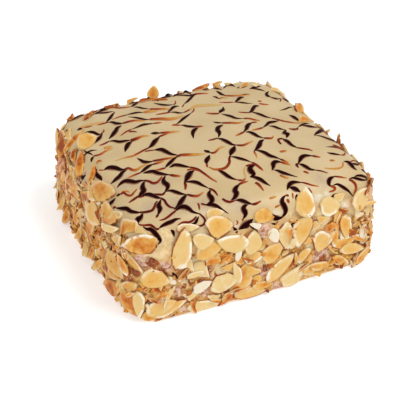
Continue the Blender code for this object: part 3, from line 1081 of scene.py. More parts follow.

# %% [markdown]
# ## Where the slices lie
#
# The slices that face the camera are placed one by one: each row gives the pixels
# of its blunt end, its tip and its widest place on one side, so that its turn,
# tilt, length and width follow from where those meet the skin. Rows further
# down lie on top of the ones before. The rest are strewn in loose courses by
# seeded draws, where the solid has them. Smaller broken pieces then fill the
# space between.

# %% Slices given one by one
# Pixels of the blunt end, the tip and the side, then kind of shape, toasting,
# how pale the rim is, which is partly a painted highlight, and whether brown
# skin clings to it.
FRONT_SLICES = (
    (122, 289, 137, 285, 129, 280, ROUNDED, 0.5, 0.4, 0),
    (124, 289, 137, 316, 121.5, 302, WHOLE, 0.75, 0.2, 1),
    (139, 291, 139, 318, 145, 302, WHOLE, 0.15, 1, 0), (142, 319, 157, 320, 150, 324, WHOLE, 0.6, 0.2, 0),
    (154, 316.5, 187, 299, 173, 312, WHOLE, 0.3, 0.8, 1),
    (146, 313, 176, 301, 157, 301, WHOLE, 0.25, 0.7, 0),
    (187, 307.5, 220, 303, 203, 300.5, WHOLE, 0.1, 0.8, 0),
    (183, 299, 199, 291.5, 192, 290, SPLIT, 0.1, 0.8, 0),
    (150, 288, 166, 291, 158, 284.5, BLOCK, 1, 0, 1), (142, 286, 148, 286, 145, 283.5, CHIP, 0.2, 1, 0),
    (141, 276, 170, 282, 154, 269, WHOLE, 0.4, 0.5, 0),
    (123, 251, 143, 273, 134, 259, WHOLE, 0.45, 0.8, 1),
    (167.5, 277.5, 176, 284, 173, 277.5, ROUNDED, 0, 1, 0),
    (111, 235, 120, 242, 117, 234, HALF_LEAF, 0.4, 0.6, 0),
    (101, 226.5, 119, 231, 109, 224.5, LONG_HALF, 0.2, 0.6, 0),
    (118.5, 228, 136.5, 228, 127, 219, BLOCK, 0.6, 0.5, 0),
    (135, 220, 137.5, 233, 138.5, 226, STRAW, 0.05, 1, 0),
    (158, 243, 121, 246, 140, 234.5, WHOLE, 0.72, 1, 1),
    (176, 229, 200, 227, 188, 223.5, WHOLE, 0.1, 0.8, 1),
    (192, 243, 214, 239, 200, 233, BLUNT, 0.15, 0.6, 0),
    (196, 253, 222, 247, 208, 241, WHOLE, 0.4, 0.3, 0),
    (200, 279, 203, 259.5, 212, 267, BLOCK, 0.15, 0.5, 0),
    (213, 266, 213, 258, 215, 262, STRAW, 0.3, 0.5, 0),
    (215, 261, 226, 256, 220, 252, SPLIT, 0.8, 0.2, 0),
    (178.5, 270.5, 185.5, 228, 192.5, 247, ROUNDED, 0.22, 1, 1),
    (210, 287, 240, 276, 227, 290, WHOLE, 0.12, 0.5, 1),
    (192.5, 291, 212, 280.5, 205, 290, WHOLE, 0, 0.6, 1),
    (233, 295, 266, 290, 251, 287, WHOLE, 0.3, 0.5, 1),
    (252, 287, 273, 283, 262, 281, WHOLE, 0.5, 0.3, 0),
    (220, 306, 234, 300, 228, 297.5, BLOCK, 0.8, 0, 1),
    (210, 300, 220, 292, 212, 292, CHIP, 0.15, 0.5, 0),
    (240, 289, 246, 262, 252.5, 276, WHOLE, 0.5, 0.3, 1),
    (239, 284, 236, 262, 241.5, 270, LONG_HALF, 0.1, 1, 0),
    (249, 265, 256, 276, 259, 266, WEDGE, 0.45, 0.5, 0),
    (206, 215, 224, 212, 212, 208.5, WHOLE, 0.3, 0.6, 0),
    (204.5, 228, 234, 225, 218, 215, BLUNT, 0.4, 0.5, 1),
    (253, 255, 254, 230, 245, 241, BLUNT, 0.18, 0.5, 0),
    (242, 259, 263, 255, 252, 264, BLUNT, 0.25, 1, 0), (248, 246, 217, 241, 230, 233.5, WHOLE, 0.2, 1, 0),
    (237, 261.5, 239.5, 248, 241.5, 255, STUB, 0, 1, 0),
    (254, 218, 274, 213, 263, 208, NO_TIP, 0.55, 0.1, 0),
    (250, 222, 260, 227, 255, 220.5, HALF_LEAF, 0, 1, 0),
    (263.5, 262, 283, 242.5, 267, 247, WHOLE, 0.45, 0.2, 1),
    (271, 229, 277, 242, 280, 235, ROUNDED, 0, 1, 0), (283, 222, 287.5, 250, 292, 229, BLUNT, 0.12, 1, 1),
    (289, 229, 293, 239, 295, 233, CHIP, 0.65, 0.3, 0),
    (291, 249, 294, 239, 289.5, 243, STUB, 0.1, 0.5, 0), (266, 281, 295, 253, 277, 262, WHOLE, 0.3, 1, 0),
    (282, 287, 306, 269, 297, 284, LONG_HALF, 0.1, 0.4, 0),
    (300, 270, 316, 271, 308, 275, STRAW, 0.2, 0.5, 0),
    (306, 214, 298, 248, 293.5, 226, BLUNT, 0.35, 0.9, 1),
    (305, 218, 305.5, 187, 315, 203, WHOLE, 0.35, 1, 0),
    (311.5, 242, 332.5, 240, 321, 230.5, BLUNT, 0.3, 0.9, 1),
    (338, 229, 332, 247, 330, 236, WEDGE, 0.5, 0.5, 0),
    (345, 226, 343, 239, 348, 232, HALF_LEAF, 0.05, 0.6, 0),
    (344, 214, 347.5, 240, 351.5, 224, WHOLE, 0.4, 0.8, 1),
    (349, 233, 359, 229, 355, 226.5, CHIP, 1, 0, 1), (360, 228, 364, 243, 366, 235, STUB, 0, 1, 0),
    (332, 247, 359, 237, 348, 236, LONG_HALF, 0.6, 1, 1),
    (340, 248, 364, 248, 352, 254, WHOLE, 0.35, 0.3, 1),
    (333, 248, 340, 247.5, 336, 250.5, CHIP, 0.4, 0, 0),
    (320, 207, 340, 205, 330, 216, ROUNDED, 0.15, 0.8, 0),
    (334, 199, 345, 195.5, 340, 201.5, LONG_HALF, 0.2, 0.8, 0),
    (340, 212, 348, 208, 345, 214, CHIP, 1, 0, 0), (355, 208, 370, 191, 356, 195, ROUNDED, 0.18, 0.5, 0),
    (364, 204, 377, 201, 370, 200.5, STRAW, 0.3, 0.5, 0),
    (355, 215, 364, 211, 359, 218, CHIP, 0.05, 0.5, 0),
    (370, 222, 374, 208, 376, 214, SPLIT, 0.5, 0.2, 0),
    (136, 229, 149, 233, 143, 226.5, CHIP, 0.15, 0.4, 0),
    (318, 221, 327, 214, 325, 221, CHIP, 0.35, 0.3, 0),
    (309, 228, 319, 221, 317, 228, STRAW, 0.3, 0.5, 1),
    (325, 229, 337, 223, 332, 230, STRAW, 0.9, 0.2, 1),
    (297, 262, 309, 247, 306, 257, STRAW, 0.3, 0.6, 0),
    (303, 270, 330, 262, 317, 262, STRAW, 0.5, 0.4, 0), (187, 262, 196, 270, 194, 262, CHIP, 0.1, 0.6, 0),
    (205, 262, 222, 258, 213, 256, STRAW, 0.6, 0.5, 1),
    (222, 271, 236, 262, 230, 270, SPLIT, 0.4, 0.2, 1),
    (186, 277, 206, 271, 196, 271, STRAW, 0.1, 0.6, 1), (224, 262, 232, 251, 231, 258, CHIP, 0.7, 0.5, 0),
)
LEFT_SLICES = (
    (62, 157.5, 62, 134, 57, 147, ROUNDED, 1, 0, 1), (66, 133, 73, 137, 66, 141, CHIP, 0.4, 0.6, 0),
    (77, 145, 97, 137, 86, 133, WHOLE, 0.45, 0.4, 0), (63, 152, 84, 129, 71, 139, WHOLE, 0.7, 0.3, 0),
    (63, 156, 71, 151, 66, 150, CHIP, 1, 0, 1), (73, 162, 74, 148, 70.5, 155, STRAW, 0.9, 0.3, 0),
    (79, 177, 81.5, 150, 75.5, 166, WHOLE, 0.75, 0.2, 1), (61, 188, 65, 160, 59, 172, WHOLE, 0.9, 0.2, 1),
    (62, 189, 66, 172, 60, 182, LONG_HALF, 0.55, 0.4, 0), (69, 180, 81, 202, 77, 188, WHOLE, 0.5, 0.4, 1),
    (64, 176, 81, 192, 74, 181, LONG_HALF, 0.6, 0.3, 0), (88, 184, 98, 200, 87, 196, BLUNT, 0.4, 0.4, 0),
    (89.5, 185, 96, 165, 90, 174, LONG_HALF, 0.75, 0.4, 1),
    (96, 163, 102, 160, 99, 160.3, STRAW, 1, 0, 0), (91, 190, 116, 194, 104, 181, BLUNT, 0.6, 0.3, 1),
    (87, 203, 99, 224, 83.5, 212, WHOLE, 0.4, 0.4, 0), (97, 209.5, 100.5, 219.5, 102, 213, CHIP, 1, 0, 0),
    (101, 204, 111, 220, 111.5, 208, BLOCK, 0.5, 0.2, 0),
    (113, 209, 120, 219, 121, 211, HALF_LEAF, 0.3, 0.6, 0),
    (112, 225, 114, 215, 117, 220, STUB, 0.4, 0.2, 0),
    (100, 246, 109, 244, 104, 241, ROUNDED, 0.15, 0.5, 0),
    (95, 238, 105, 236, 100, 233, CHIP, 0.6, 0.3, 0), (106, 252, 124, 279, 121, 262, WHOLE, 0.5, 0.3, 1),
    (97, 258, 121, 284, 103, 270, LONG_HALF, 0.45, 0.3, 1),
    (105, 287, 121, 290, 111, 280, BLUNT, 0.8, 0.1, 0), (100, 226, 118, 219, 108, 216, BLOCK, 0.7, 0, 1),
    (94, 252, 98.5, 247.5, 98, 252, CHIP, 0, 1, 0), (87, 244, 94, 232, 94, 240, BLUNT, 0.6, 0.2, 0),
    (87, 233, 95, 219, 96.5, 228, WHOLE, 0.7, 0.3, 1), (88, 260, 95, 246, 94.5, 254.5, SPLIT, 0.7, 0, 0),
    (75, 225, 79, 208, 80.5, 217.5, LONG_HALF, 0.7, 0.4, 1),
    (76, 241, 82, 227, 82, 235.5, SPLIT, 0.5, 0.2, 0),
    (84, 257, 88, 243, 89, 251, LONG_HALF, 0.3, 0.5, 0),
    (93, 270, 104, 258, 101.5, 266, BLUNT, 0.45, 0.4, 1), (58, 212, 66, 196, 64, 206, SPLIT, 0.4, 0.3, 0),
    (64, 224, 70, 207, 70.5, 217, LONG_HALF, 0.6, 0.3, 1), (60, 175, 64, 158, 67, 168, WHOLE, 1, 0.1, 1),
    (66, 204, 72, 190, 74, 199, SPLIT, 0.55, 0.4, 0), (84, 200, 89, 186, 92, 194, CHIP, 0.9, 0.2, 0),
    (103, 271, 113, 262, 111, 270, SPLIT, 0.9, 0.5, 1),
)
RIM_SLICES = (
    (152, 99, 154.5, 86, 159, 93, ROUNDED, 0.5, 0.1, 0), (193, 90, 210, 84, 202, 89, LONG_HALF, 1, 0, 1),
    (212, 87, 220, 84, 216, 88, BLOCK, 0.7, 0.3, 0),
    (238, 88, 248, 83.5, 243, 87.5, HALF_LEAF, 0.6, 0.4, 0),
    (254, 86, 258, 82, 258.5, 85, CHIP, 0.1, 0.8, 0),
    (298, 112, 300.5, 103.5, 304, 109, ROUNDED, 0.7, 0.3, 1),
    (297, 119, 312, 121, 305, 117, BLOCK, 0.6, 0.3, 0), (70, 120, 71, 113.5, 74, 118, CHIP, 1, 0, 1),
    (125, 103, 138, 96, 131, 98, BLOCK, 0.5, 0.2, 0), (105, 109, 118, 103, 111, 104, CHIP, 1, 0, 1),
    (84, 119, 95, 111, 89, 113, LONG_HALF, 0.9, 0, 1), (214, 86, 222, 80, 219, 85, BLOCK, 0.6, 0.2, 0),
    (226, 85, 231, 82.5, 228, 81.5, CHIP, 0.3, 0.6, 0), (152, 100, 168, 99, 160, 98.5, STRAW, 0.9, 0, 1),
    (140, 99, 147, 96, 143, 96.5, CHIP, 0.8, 0, 1), (270, 89, 280, 90.5, 275, 88, STRAW, 0.2, 0.6, 0),
)

# Side, distance along it, lean from upright, length, width, turn, in
# millimetres and degrees, then looks: those that only show from behind.
BEHIND_SLICES = (
    (RIGHT, -6, 40, 13, 9, -10, BLUNT, 0.40, 0.5, 0), (RIGHT, 12, 40, 14, 9, 70, NO_TIP, 0.50, 0.5, 1),
    (RIGHT, 44, 30, 17, 9, 40, WHOLE, 0.35, 0.8, 0), (RIGHT, -34, 24, 16, 10, 110, WHOLE, 0.6, 0.4, 1),
    (BACK, -42, 46, 10, 6, 10, BLOCK, 0.60, 0.4, 0), (BACK, 60, 40, 9, 6, 30, CHIP, 0.60, 0.4, 0),
    (BACK, -16, 20, 17, 9, 60, WHOLE, 0.30, 0.8, 1), (BACK, 34, 18, 16, 10, -50, BLUNT, 0.70, 0.5, 0),
    (RIGHT, 60, 16, 17, 10, 75, WHOLE, 0.45, 0.5, 1), (RIGHT, 70, 4, 16, 9, 130, WHOLE, 0.25, 0.8, 0),
    (RIGHT, 77, 26, 13, 9, 20, BLUNT, 0.60, 0.4, 1), (RIGHT, 26, 6, 16, 10, 60, WHOLE, 0.35, 0.7, 1),
    (RIGHT, -52, 6, 15, 9, 110, ROUNDED, 0.50, 0.5, 0), (BACK, -62, 8, 16, 9, 60, WHOLE, 0.35, 0.6, 1),
    (BACK, -54, 32, 12, 8, -20, NO_TIP, 0.50, 0.5, 0), (BACK, -32, 4, 17, 10, 100, WHOLE, 0.55, 0.4, 0),
    (BACK, 64, 8, 17, 9, 100, WHOLE, 0.40, 0.7, 1), (BACK, 75, 24, 13, 8, 45, BLUNT, 0.60, 0.5, 0),
    (BACK, 14, 6, 16, 9, 80, ROUNDED, 0.30, 0.9, 1), (LEFT, -58, 20, 15, 9, 30, WHOLE, 0.70, 0.3, 1),
)
print("picked by hand:", sum(len(rows) for rows in (FRONT_SLICES, LEFT_SLICES, RIM_SLICES, BEHIND_SLICES)))

# %% Lay a slice by the pixels of its ends
SLICE_LONG = 0.0182
SLICE_WIDE = 0.0098
SLICE_THICK = 0.0011
WIDEST_SLICE = 0.0140
LIFT = 0.0003
LIFT_PER_LAYER = 0.0007
MOST_LAYERS = 3
OVERLAP = 0.7
FRONT_TILT, SIDE_TILT = 0.25, 0.65
FACING_LEAST = 0.35
MOST_SHIFT = 0.0050
ENDS = ((-0.5, 0), (0.5, 0), (0, 0.5), (0, -0.5), (0, 0))
FEELERS = [(u / 6, v / 6) for u in range(-2, 3) for v in range(-2, 3) if abs(u) + abs(v) < 4]


def layer_of(middle, reach, laid):
    """One more than the highest slice that this one overlaps in the picture."""
    under = [layer for place, size, layer in laid if (middle - place).length < OVERLAP * (reach + size)]
    return min(MOST_LAYERS, 1 + max(under)) if under else 0


def axes_at(place, along, off):
    """Axes with X along a direction and Z off the surface."""
    return Matrix.Translation(place) @ Matrix((along, off.cross(along), off)).transposed().to_4x4()


def slice_by_pixels(row, laid, tilt):
    """A slice's placing matrix, size and looks from three pixels; it is noted in `laid`."""
    tail, tip, flank = (Vector(row[i:i + 2]) for i in (0, 2, 4))
    middle = (tail + tip) / 2
    reach = ((tip - tail).length / 2 + (flank - middle).length) / 2
    layer = layer_of(middle, reach, laid)
    laid.append((middle, reach, layer))
    rest = LIFT + LIFT_PER_LAYER * layer
    ends, outward = [], seen(coat, middle)[1] * 2
    for pixel in (tail, tip):
        point, normal = seen(coat, pixel)
        facing = max(FACING_LEAST, abs(normal.dot(sight(pixel))))
        ends.append(point - sight(pixel) * rest / facing)
        outward += normal
    outward = outward.normalized() - sight(middle) * tilt
    tail, tip = ends
    centre = (tail + tip) / 2
    along = (tip - tail).normalized()
    off = (outward - along * along.dot(outward)).normalized()
    across = off.cross(along)
    facing = off.dot(sight(flank))
    if abs(facing) > FACING_LEAST / 2:
        flank = camera.location + sight(flank) * (centre - camera.location).dot(off) / facing
    else:
        flank = seen(coat, flank)[0]
    long, wide = (tip - tail).length, min(WIDEST_SLICE, 2 * abs((flank - centre).dot(across)))
    line = (centre - camera.location).normalized()
    shift = 0.0
    for u, v in FEELERS:
        way_there = centre + along * u * long + across * v * wide - camera.location
        hit = coat.ray_cast(camera.location, way_there.normalized())[3]
        if hit is not None:
            shift = max(shift, way_there.length - hit + LIFT)
    centre -= line * min(shift, MOST_SHIFT)
    ends = [centre + along * u * long + across * v * wide for u, v in ENDS]
    touch = min(ends, key=lambda end: coat.find_nearest(end)[3])
    near, _, _, gap = coat.find_nearest(touch)
    if gap > rest:
        centre += (near - touch) * (1 - rest / gap)
    # The side towards the side pixel gets the whiter rim, partly a painted highlight.
    white_side = math.copysign(1.0, (flank - centre).dot(across))
    return axes_at(centre, along, off), (long, wide, SLICE_THICK), (*row[6:], white_side)


first = slice_by_pixels(FRONT_SLICES[2], [], FRONT_TILT)
print("a picked slice is", [round(value / MM, 1) for value in first[1]], "mm")

# %% Axes on the wall and on the shoulder
NEARBY = 0.002


def along_at(way, height):
    return (skin(way + NEARBY, 0.0, height) - skin(way - NEARBY, 0.0, height)).normalized()


def wall_frame(way, height):
    """Axes on the wall: X along it, Y up it, Z off it, origin on its face."""
    here, along = skin(way, 0.0, height), along_at(way, height)
    up = (skin(way, 0.0, height + NEARBY) - here).normalized()
    return axes_at(here, along, along.cross(up).normalized())


def glaze_frame(way, angle):
    """Axes on the glaze's roll, `angle` radians up from the shoulder."""
    along = along_at(way, SHOULDER)
    flat_off = Vector((along.y, -along.x, 0))
    off = flat_off * math.cos(angle) + Vector((0, 0, 1)) * math.sin(angle)
    return axes_at(skin(way, *on_roll(angle)), along, off)


print("a slice at mid height stands at", [round(v, 3) for v in wall_frame(0.06, 0.02).translation])

# %% List every slice with its place and looks
SEED = 417
ROWS = 6
LOWEST_ROW = 0.0040
ROW_PITCH = 0.0086
ROW_STEP = 0.0152
ROW_STRAY = 0.0024
TOP_ROW_SHARE = 0.6
STRAY_ALONG = 0.3
MOST_TIP, MOST_ROLL = 10, 22
ROW_SUNK = (-0.0008, 0.0007)
LEANING = 34
LEANS = (14, 40)
SUNK_IN_GLAZE = 0.0003
CLEAR_OF_PICKED = 0.0074
WARMER = 0.15
TOASTING = (1.6, 2.2)
LEAST_PALE = 0.2
SKINNED_SHARE = 0.45
STREWN_KINDS = (WHOLE, WHOLE, ROUNDED, BLUNT, NO_TIP, HALF_LEAF, SPLIT, BLOCK, LONG_HALF, WEDGE, STUB, CHIP)


def slice_on(axes, size, turn, looks, tip=0.0, roll=0.0, sunk=SUNK_IN_GLAZE):
    """One slice laid on axes; a broken one has only its share of the size."""
    spin = Matrix.Rotation(turn, 4, "Z") @ Matrix.Rotation(tip, 4, "Y") @ Matrix.Rotation(roll, 4, "X")
    placed = axes @ Matrix.Translation((0, 0, SLICE_THICK / 2 - sunk)) @ spin
    share = slice_shares[looks[0]]
    return placed, (size[0] * share.x, size[1] * share.y, SLICE_THICK), looks


def random_looks(draws, warmth=0.0):
    kind = draws.choice(STREWN_KINDS)
    toast = min(1.0, max(0.0, draws.betavariate(*TOASTING) + warmth))
    pale, skinned = draws.uniform(LEAST_PALE, 1.0), float(draws.random() < SKINNED_SHARE)
    return kind, toast, pale, skinned, draws.choice((-1.0, 1.0))


def random_size(draws, least_long, most_long, least_wide, most_wide):
    """Length and width of a whole slice, within shares of the usual ones."""
    long = SLICE_LONG * draws.uniform(least_long, most_long)
    return long, SLICE_WIDE * long / SLICE_LONG * draws.uniform(least_wide, most_wide)


def clear_of(place, slices, distance):
    """Whether a slice there would cover neither a picked one nor a patch to be seen."""
    far = all((place - other.translation).length > distance for other, _, _ in slices)
    return far and all((place - spot).length > reach + distance / 3 for spot, reach in bare_spots)


def strewn_in_rows(picked, looks_draws):
    """Loose courses on the wall, wherever nothing picked lies."""
    draws = random.Random(SEED)
    steps = round(ROUND / ROW_STEP)
    for row in range(ROWS):
        for step in range(steps):
            way = ROUND * (step + 0.5 * (row % 2) + draws.uniform(-STRAY_ALONG, STRAY_ALONG)) / steps
            height = LOWEST_ROW + ROW_PITCH * row + draws.uniform(-ROW_STRAY, ROW_STRAY)
            size = random_size(draws, 0.70, 1.12, 0.62, 1.08)
            turn = draws.uniform(-math.pi, math.pi)
            tip = math.radians(draws.uniform(-MOST_TIP, MOST_TIP))
            roll = math.radians(draws.uniform(-MOST_ROLL, MOST_ROLL))
            sunk = draws.uniform(*ROW_SUNK)
            axes = wall_frame(way, height)
            if not clear_of(axes.translation, picked, CLEAR_OF_PICKED):
                continue
            if row < ROWS - 1 or draws.random() < TOP_ROW_SHARE:
                yield slice_on(axes, size, turn, random_looks(looks_draws), tip, roll, sunk)


def strewn_on_shoulder(picked, looks_draws):
    """A few that lean on the glaze's roll."""
    draws = random.Random(SEED + 1)
    for step in range(LEANING):
        way = ROUND * (step + draws.uniform(-STRAY_ALONG, STRAY_ALONG)) / LEANING
        lean = math.radians(draws.uniform(*LEANS))
        size = random_size(draws, 0.6, 1.05, 0.7, 1.1)
        turn = draws.uniform(-math.pi, math.pi)
        axes = glaze_frame(way, lean)
        if clear_of(axes.translation, picked, 2 * CLEAR_OF_PICKED):
            yield slice_on(axes, size, turn, random_looks(looks_draws, WARMER))


def all_slices():
    """Every large slice as (placing matrix, size, looks), the picked ones first."""
    laid = []
    picked = [slice_by_pixels(row, laid, SIDE_TILT) for row in RIM_SLICES + LEFT_SLICES]
    picked += [slice_by_pixels(row, laid, FRONT_TILT) for row in FRONT_SLICES]
    for side, along, lean, long, wide, turn, *looks in BEHIND_SLICES:
        axes = glaze_frame(way_of(side, along * MM), math.radians(lean))
        picked.append(slice_on(axes, (long * MM, wide * MM), math.radians(turn), (*looks, 1.0)))
    looks_draws = random.Random(SEED + 7)
    return [*picked, *strewn_in_rows(picked, looks_draws), *strewn_on_shoulder(picked, looks_draws)]


bare_spots = spots([kind for kind in PATCHES if kind not in COVERED_PATCHES], 0.9)
large_slices = all_slices()
print("large slices:", len(large_slices))

# %% Carry places and looks on a mesh of points
LOOKS = ("kind", "toast", "pale", "skin", "white_side")
FLOOR_GAP = 0.0002


def point_mesh(name, slices):
    """Loose points with what the tree needs to place a slice on each."""
    placed, sizes, looks = zip(*slices)
    mesh = bpy.data.meshes.new(name)
    mesh.from_pydata([matrix.translation for matrix in placed], [], [])
    add_layer(mesh, "turned", [matrix.to_euler() for matrix in placed], "FLOAT_VECTOR")
    add_layer(mesh, "size", sizes, "FLOAT_VECTOR")
    for look, values in zip(LOOKS, zip(*looks)):
        add_layer(mesh, look, values, "INT" if look == "kind" else "FLOAT")
    return mesh


def placing_tree(material):
    """Puts the slice of the wanted kind, turned and stretched, on every point."""
    t = Growth("place_slices", ("Shapes", "Collection"))
    turned, size = t.spin(t.named("turned", "FLOAT_VECTOR")), t.named("size", "FLOAT_VECTOR")
    return t.done(t.instances(t.given["Geometry"], t.named("kind", "INT"), turned, size), material)


def settle(piece, shapes, carrier=None):
    """Draws each lump that hangs clear onto its carrier, and off the floor."""
    corners = len(shapes.objects[0].data.vertices)
    points = [vertex.co for vertex in piece.data.vertices]
    for first in range(0, len(points), corners):
        group = points[first:first + corners]
        if carrier:
            nearest = [carrier.find_nearest(point) for point in group]
            gaps = [(point - near).dot(normal) for point, (near, normal, _, _) in zip(group, nearest)]
            least = gaps.index(min(gaps))
            shift = nearest[least][0] - group[least] if gaps[least] > 0 else Vector()
            for point in group:
                point += shift
        lowest = min(point.z for point in group)
        for point in group:
            point.z += max(0.0, FLOOR_GAP - lowest)


large_points = point_mesh("almond_slices", large_slices)
almond_slices = grow("almond_slices", large_points, placing_tree(almond_material), Shapes=almond_shapes)
settle(almond_slices, almond_shapes)

# %% [markdown]
# ## Broken pieces, slivers, chopped nuts and crumbs
#
# Under and between the large slices lies what came off them. These small
# pieces follow one rule, so one tree strews them all: it scatters points over
# the wall, denser where a weight on the wall says so, lays each piece along
# the surface, turns and tips it at random, and sinks it a little. Only the
# shapes, sizes, number and seed differ.

# %% A tree that strews pieces on a surface
MEASURES = (
    ("Per Square Metre", "Float"), ("Apart", "Float"), ("Smallest", "Vector"), ("Largest", "Vector"),
    ("Tip", "Float"), ("Lowest", "Float"), ("Highest", "Float"), ("Toast Low", "Float"),
    ("Toast High", "Float"), ("Seed", "Int"),
)


def strewing_tree(name, material, lumps):
    """Scatters shapes over a surface; lumps have no rim of their own, so they draw one."""
    t = Growth("strew_" + name, ("Shapes", "Collection"), *MEASURES)
    given = t.given
    scatter = t.add("GeometryNodeDistributePointsOnFaces", {
        "Mesh": given["Geometry"], "Distance Min": given["Apart"], "Seed": given["Seed"],
        "Density Max": given["Per Square Metre"], "Density Factor": t.named("weight"),
    }, distribute_method="POISSON")
    points, normal, facing = (enabled(scatter.outputs, pick) for pick in ("Points", "Normal", "Rotation"))
    points = t.pushed(points, normal, t.random("FLOAT", given["Lowest"], given["Highest"], 0))
    layers = (
        ("toast", given["Toast Low"], given["Toast High"], 1), ("pale", 0.0, 1.0, 2),
        ("skin", -0.6, 1.2, 3), ("white_side", -1.0, 1.0, 8), ("rim", 0.0, 1.0, 4),
    )
    for layer, low, high, plus in layers if lumps else layers[:-1]:
        points = t.store(points, layer, t.random("FLOAT", low, high, plus))
    tip, back = given["Tip"], t.times(given["Tip"], -1.0)
    low, high = t.vector(back, back, -math.pi), t.vector(tip, tip, math.pi)
    inputs = {"Rotation": facing, "Rotate By": t.spin(t.random("FLOAT_VECTOR", low, high, 5))}
    turned = t.out("FunctionNodeRotateRotation", inputs, rotation_space="LOCAL")
    size = t.random("FLOAT_VECTOR", given["Smallest"], given["Largest"], 6)
    return t.done(t.instances(points, t.random("INT", 0, 100, 7), turned, size), material)


print("measures of a strewn piece:", [label for label, _ in MEASURES])

# %% The wall, weighted by where small pieces gather
LOWEST_BIT, HIGHEST_BIT = 0.0015, 0.0485
BIT_TOP = 0.0440
BIT_ROWS = 28
BARE_MARGIN = 0.0012
COVERED = 0.72
SIDE_REACH, SIDE_FADE = 3.0, 2.4
CLIMBS_FROM = 0.5
FEWER_IN_FRONT = 0.25
FOOT_SHARE, FOOT_HIGH = 0.6, 0.012
NIBS_ANYWHERE, NIBS_LEFT, NIBS_CRUMBLY = 0.32, 0.50, 2
bit_ways = ways_round(side_steps=56, corner_steps=14)
bit_heights = [LOWEST_BIT + (HIGHEST_BIT - LOWEST_BIT) * row / (BIT_ROWS - 1) for row in range(BIT_ROWS)]
crumbly_spots = spots(["golden"], 1.4)
footprints = [(placed.inverted(), placed.translation, *size[:2]) for placed, size, _ in large_slices]


def bare_share(place):
    """0 under a large slice and on a patch to be seen, else 1."""
    for inverse, middle, long, wide in footprints:
        if (place - middle).length_squared < long * long / 3:
            local = inverse @ place
            if (2 * local.x / long) ** 2 + (2 * local.y / wide) ** 2 < COVERED:
                return 0.0
    return float(all((place - spot).length >= reach + BARE_MARGIN for spot, reach in bare_spots))


bare_shares = [[bare_share(skin(way, 0.0, height)) for way in bit_ways] for height in bit_heights]


def on_side(way, side):
    """1 along a side, fading to 0 past its corners."""
    apart = abs(way - way_of(side, 0))
    return max(0.0, min(1.0, SIDE_REACH - SIDE_FADE * min(apart, ROUND - apart) / (WIDTH / 2)))


def everywhere(way, height):
    return 1.0


def below_glaze(way, height):
    """Small pieces end at the glaze, but climb onto it at the left and the right."""
    climbs = on_side(way, LEFT) + on_side(way, RIGHT) > CLIMBS_FROM
    return float(height < BIT_TOP or climbs)


def beside_picked(way, height):
    """Fewer on the front, where the picked slices lie close."""
    return 1 - FEWER_IN_FRONT * on_side(way, FRONT)


def low_and_left(way, height):
    """Chopped nuts gather at the foot and on the left side."""
    foot = FOOT_SHARE * max(0.0, 1 - height / FOOT_HIGH)
    place = skin(way, 0.0, height)
    crumbly = max(1 - (place - spot).length / reach for spot, reach in crumbly_spots)
    share = NIBS_ANYWHERE + NIBS_LEFT * on_side(way, LEFT) + foot
    return min(1.0, share + max(0.0, NIBS_CRUMBLY * crumbly))


def wall_mesh(name, weight):
    """The wall's face alone; each point has weight(way, height) unless a slice covers it."""
    shell = bmesh.new()
    layer = shell.verts.layers.float.new("weight")
    loops = []
    for height, shares in zip(bit_heights, bare_shares):
        loop = []
        for way, share in zip(bit_ways, shares):
            vertex = shell.verts.new(skin(way, 0.0, height))
            vertex[layer] = weight(way, height) * share * below_glaze(way, height)
            loop.append(vertex)
        loops.append(loop)
    for lower, upper in zip(loops, loops[1:]):
        join_rings(shell, lower, upper)
    return finished_mesh(name, shell)


bare = sum(sum(row) for row in bare_shares) / (len(bit_ways) * BIT_ROWS)
print("share of the wall that no large slice covers:", round(bare, 2))

# %% Shapes and finishes of chopped nuts and crumbs
def lump_shapes(prefix, count, seed, rough):
    """Small irregular blocks: a cube's corners, pushed about."""
    draws = random.Random(seed)
    shapes = bpy.data.collections.new(prefix)
    for i in range(count):
        shape = bmesh.new()
        bmesh.ops.create_cube(shape, size=1.0)
        for vertex in shape.verts:
            vertex.co += Vector([draws.uniform(-rough, rough) for _ in "xyz"])
        edges = shape.edges[:]
        bmesh.ops.bevel(shape, geom=edges, offset=0.12, segments=1, profile=0.6, affect="EDGES")
        for face in shape.faces:
            face.smooth = True
        name = f"{prefix}_{i:02d}"
        shapes.objects.link(bpy.data.objects.new(name, finished_mesh(name, shape)))
    return shapes


def crumb_finish():
    t = Finish("crumb")
    heat = t.plus(t.attribute("toast"), t.centred(t.noise(900, 2.0), 0.5), clamp=True)
    colour = t.ramp(heat, (0.0, "f0dcab"), (0.35, "e0b05a"), (0.70, "c07a30"), (1.0, "7a3014"))
    return t.done(colour, 0.7, 0.3, grain=(2600, 2.0, 0.0002))


nib_shapes = lump_shapes("nib_shape", 8, 5, 0.24)
nib_material = almond_finish("chopped_almond", ("ecd8a4", "deb668", "d49434", "b86216", "823808"))
crumb_shapes = lump_shapes("crumb_shape", 6, 9, 0.30)
crumb_material = crumb_finish()

# %% Strew them all
# Name, weight on the wall, shapes and finish, then the measures in their order.
STREWN = (
    ("broken_almonds", beside_picked, almond_shapes, almond_material, 52000.0, 0.0040,
     (0.0048, 0.0030, 0.0009), (0.0115, 0.0070, 0.0011), 0.26, -0.0003, 0.0006, 0.2, 1.0, 31),
    ("almond_slivers", beside_picked, almond_shapes, almond_material, 30000.0, 0.0050,
     (0.0070, 0.0014, 0.0011), (0.0165, 0.0030, 0.0017), 0.30, -0.0003, 0.0016, 0.2, 1.0, 57),
    ("chopped_almonds", low_and_left, nib_shapes, nib_material, 90000.0, 0.0026,
     (0.0018, 0.0013, 0.0010), (0.0056, 0.0032, 0.0018), 0.9, -0.0003, 0.0012, 0.1, 1.0, 71),
    ("crumbs", everywhere, crumb_shapes, crumb_material, 120000.0, 0.0016,
     (0.0005, 0.0005, 0.0004), (0.0016, 0.0013, 0.0010), 1.5, -0.0001, 0.0006, 0.0, 1.0, 83),
)
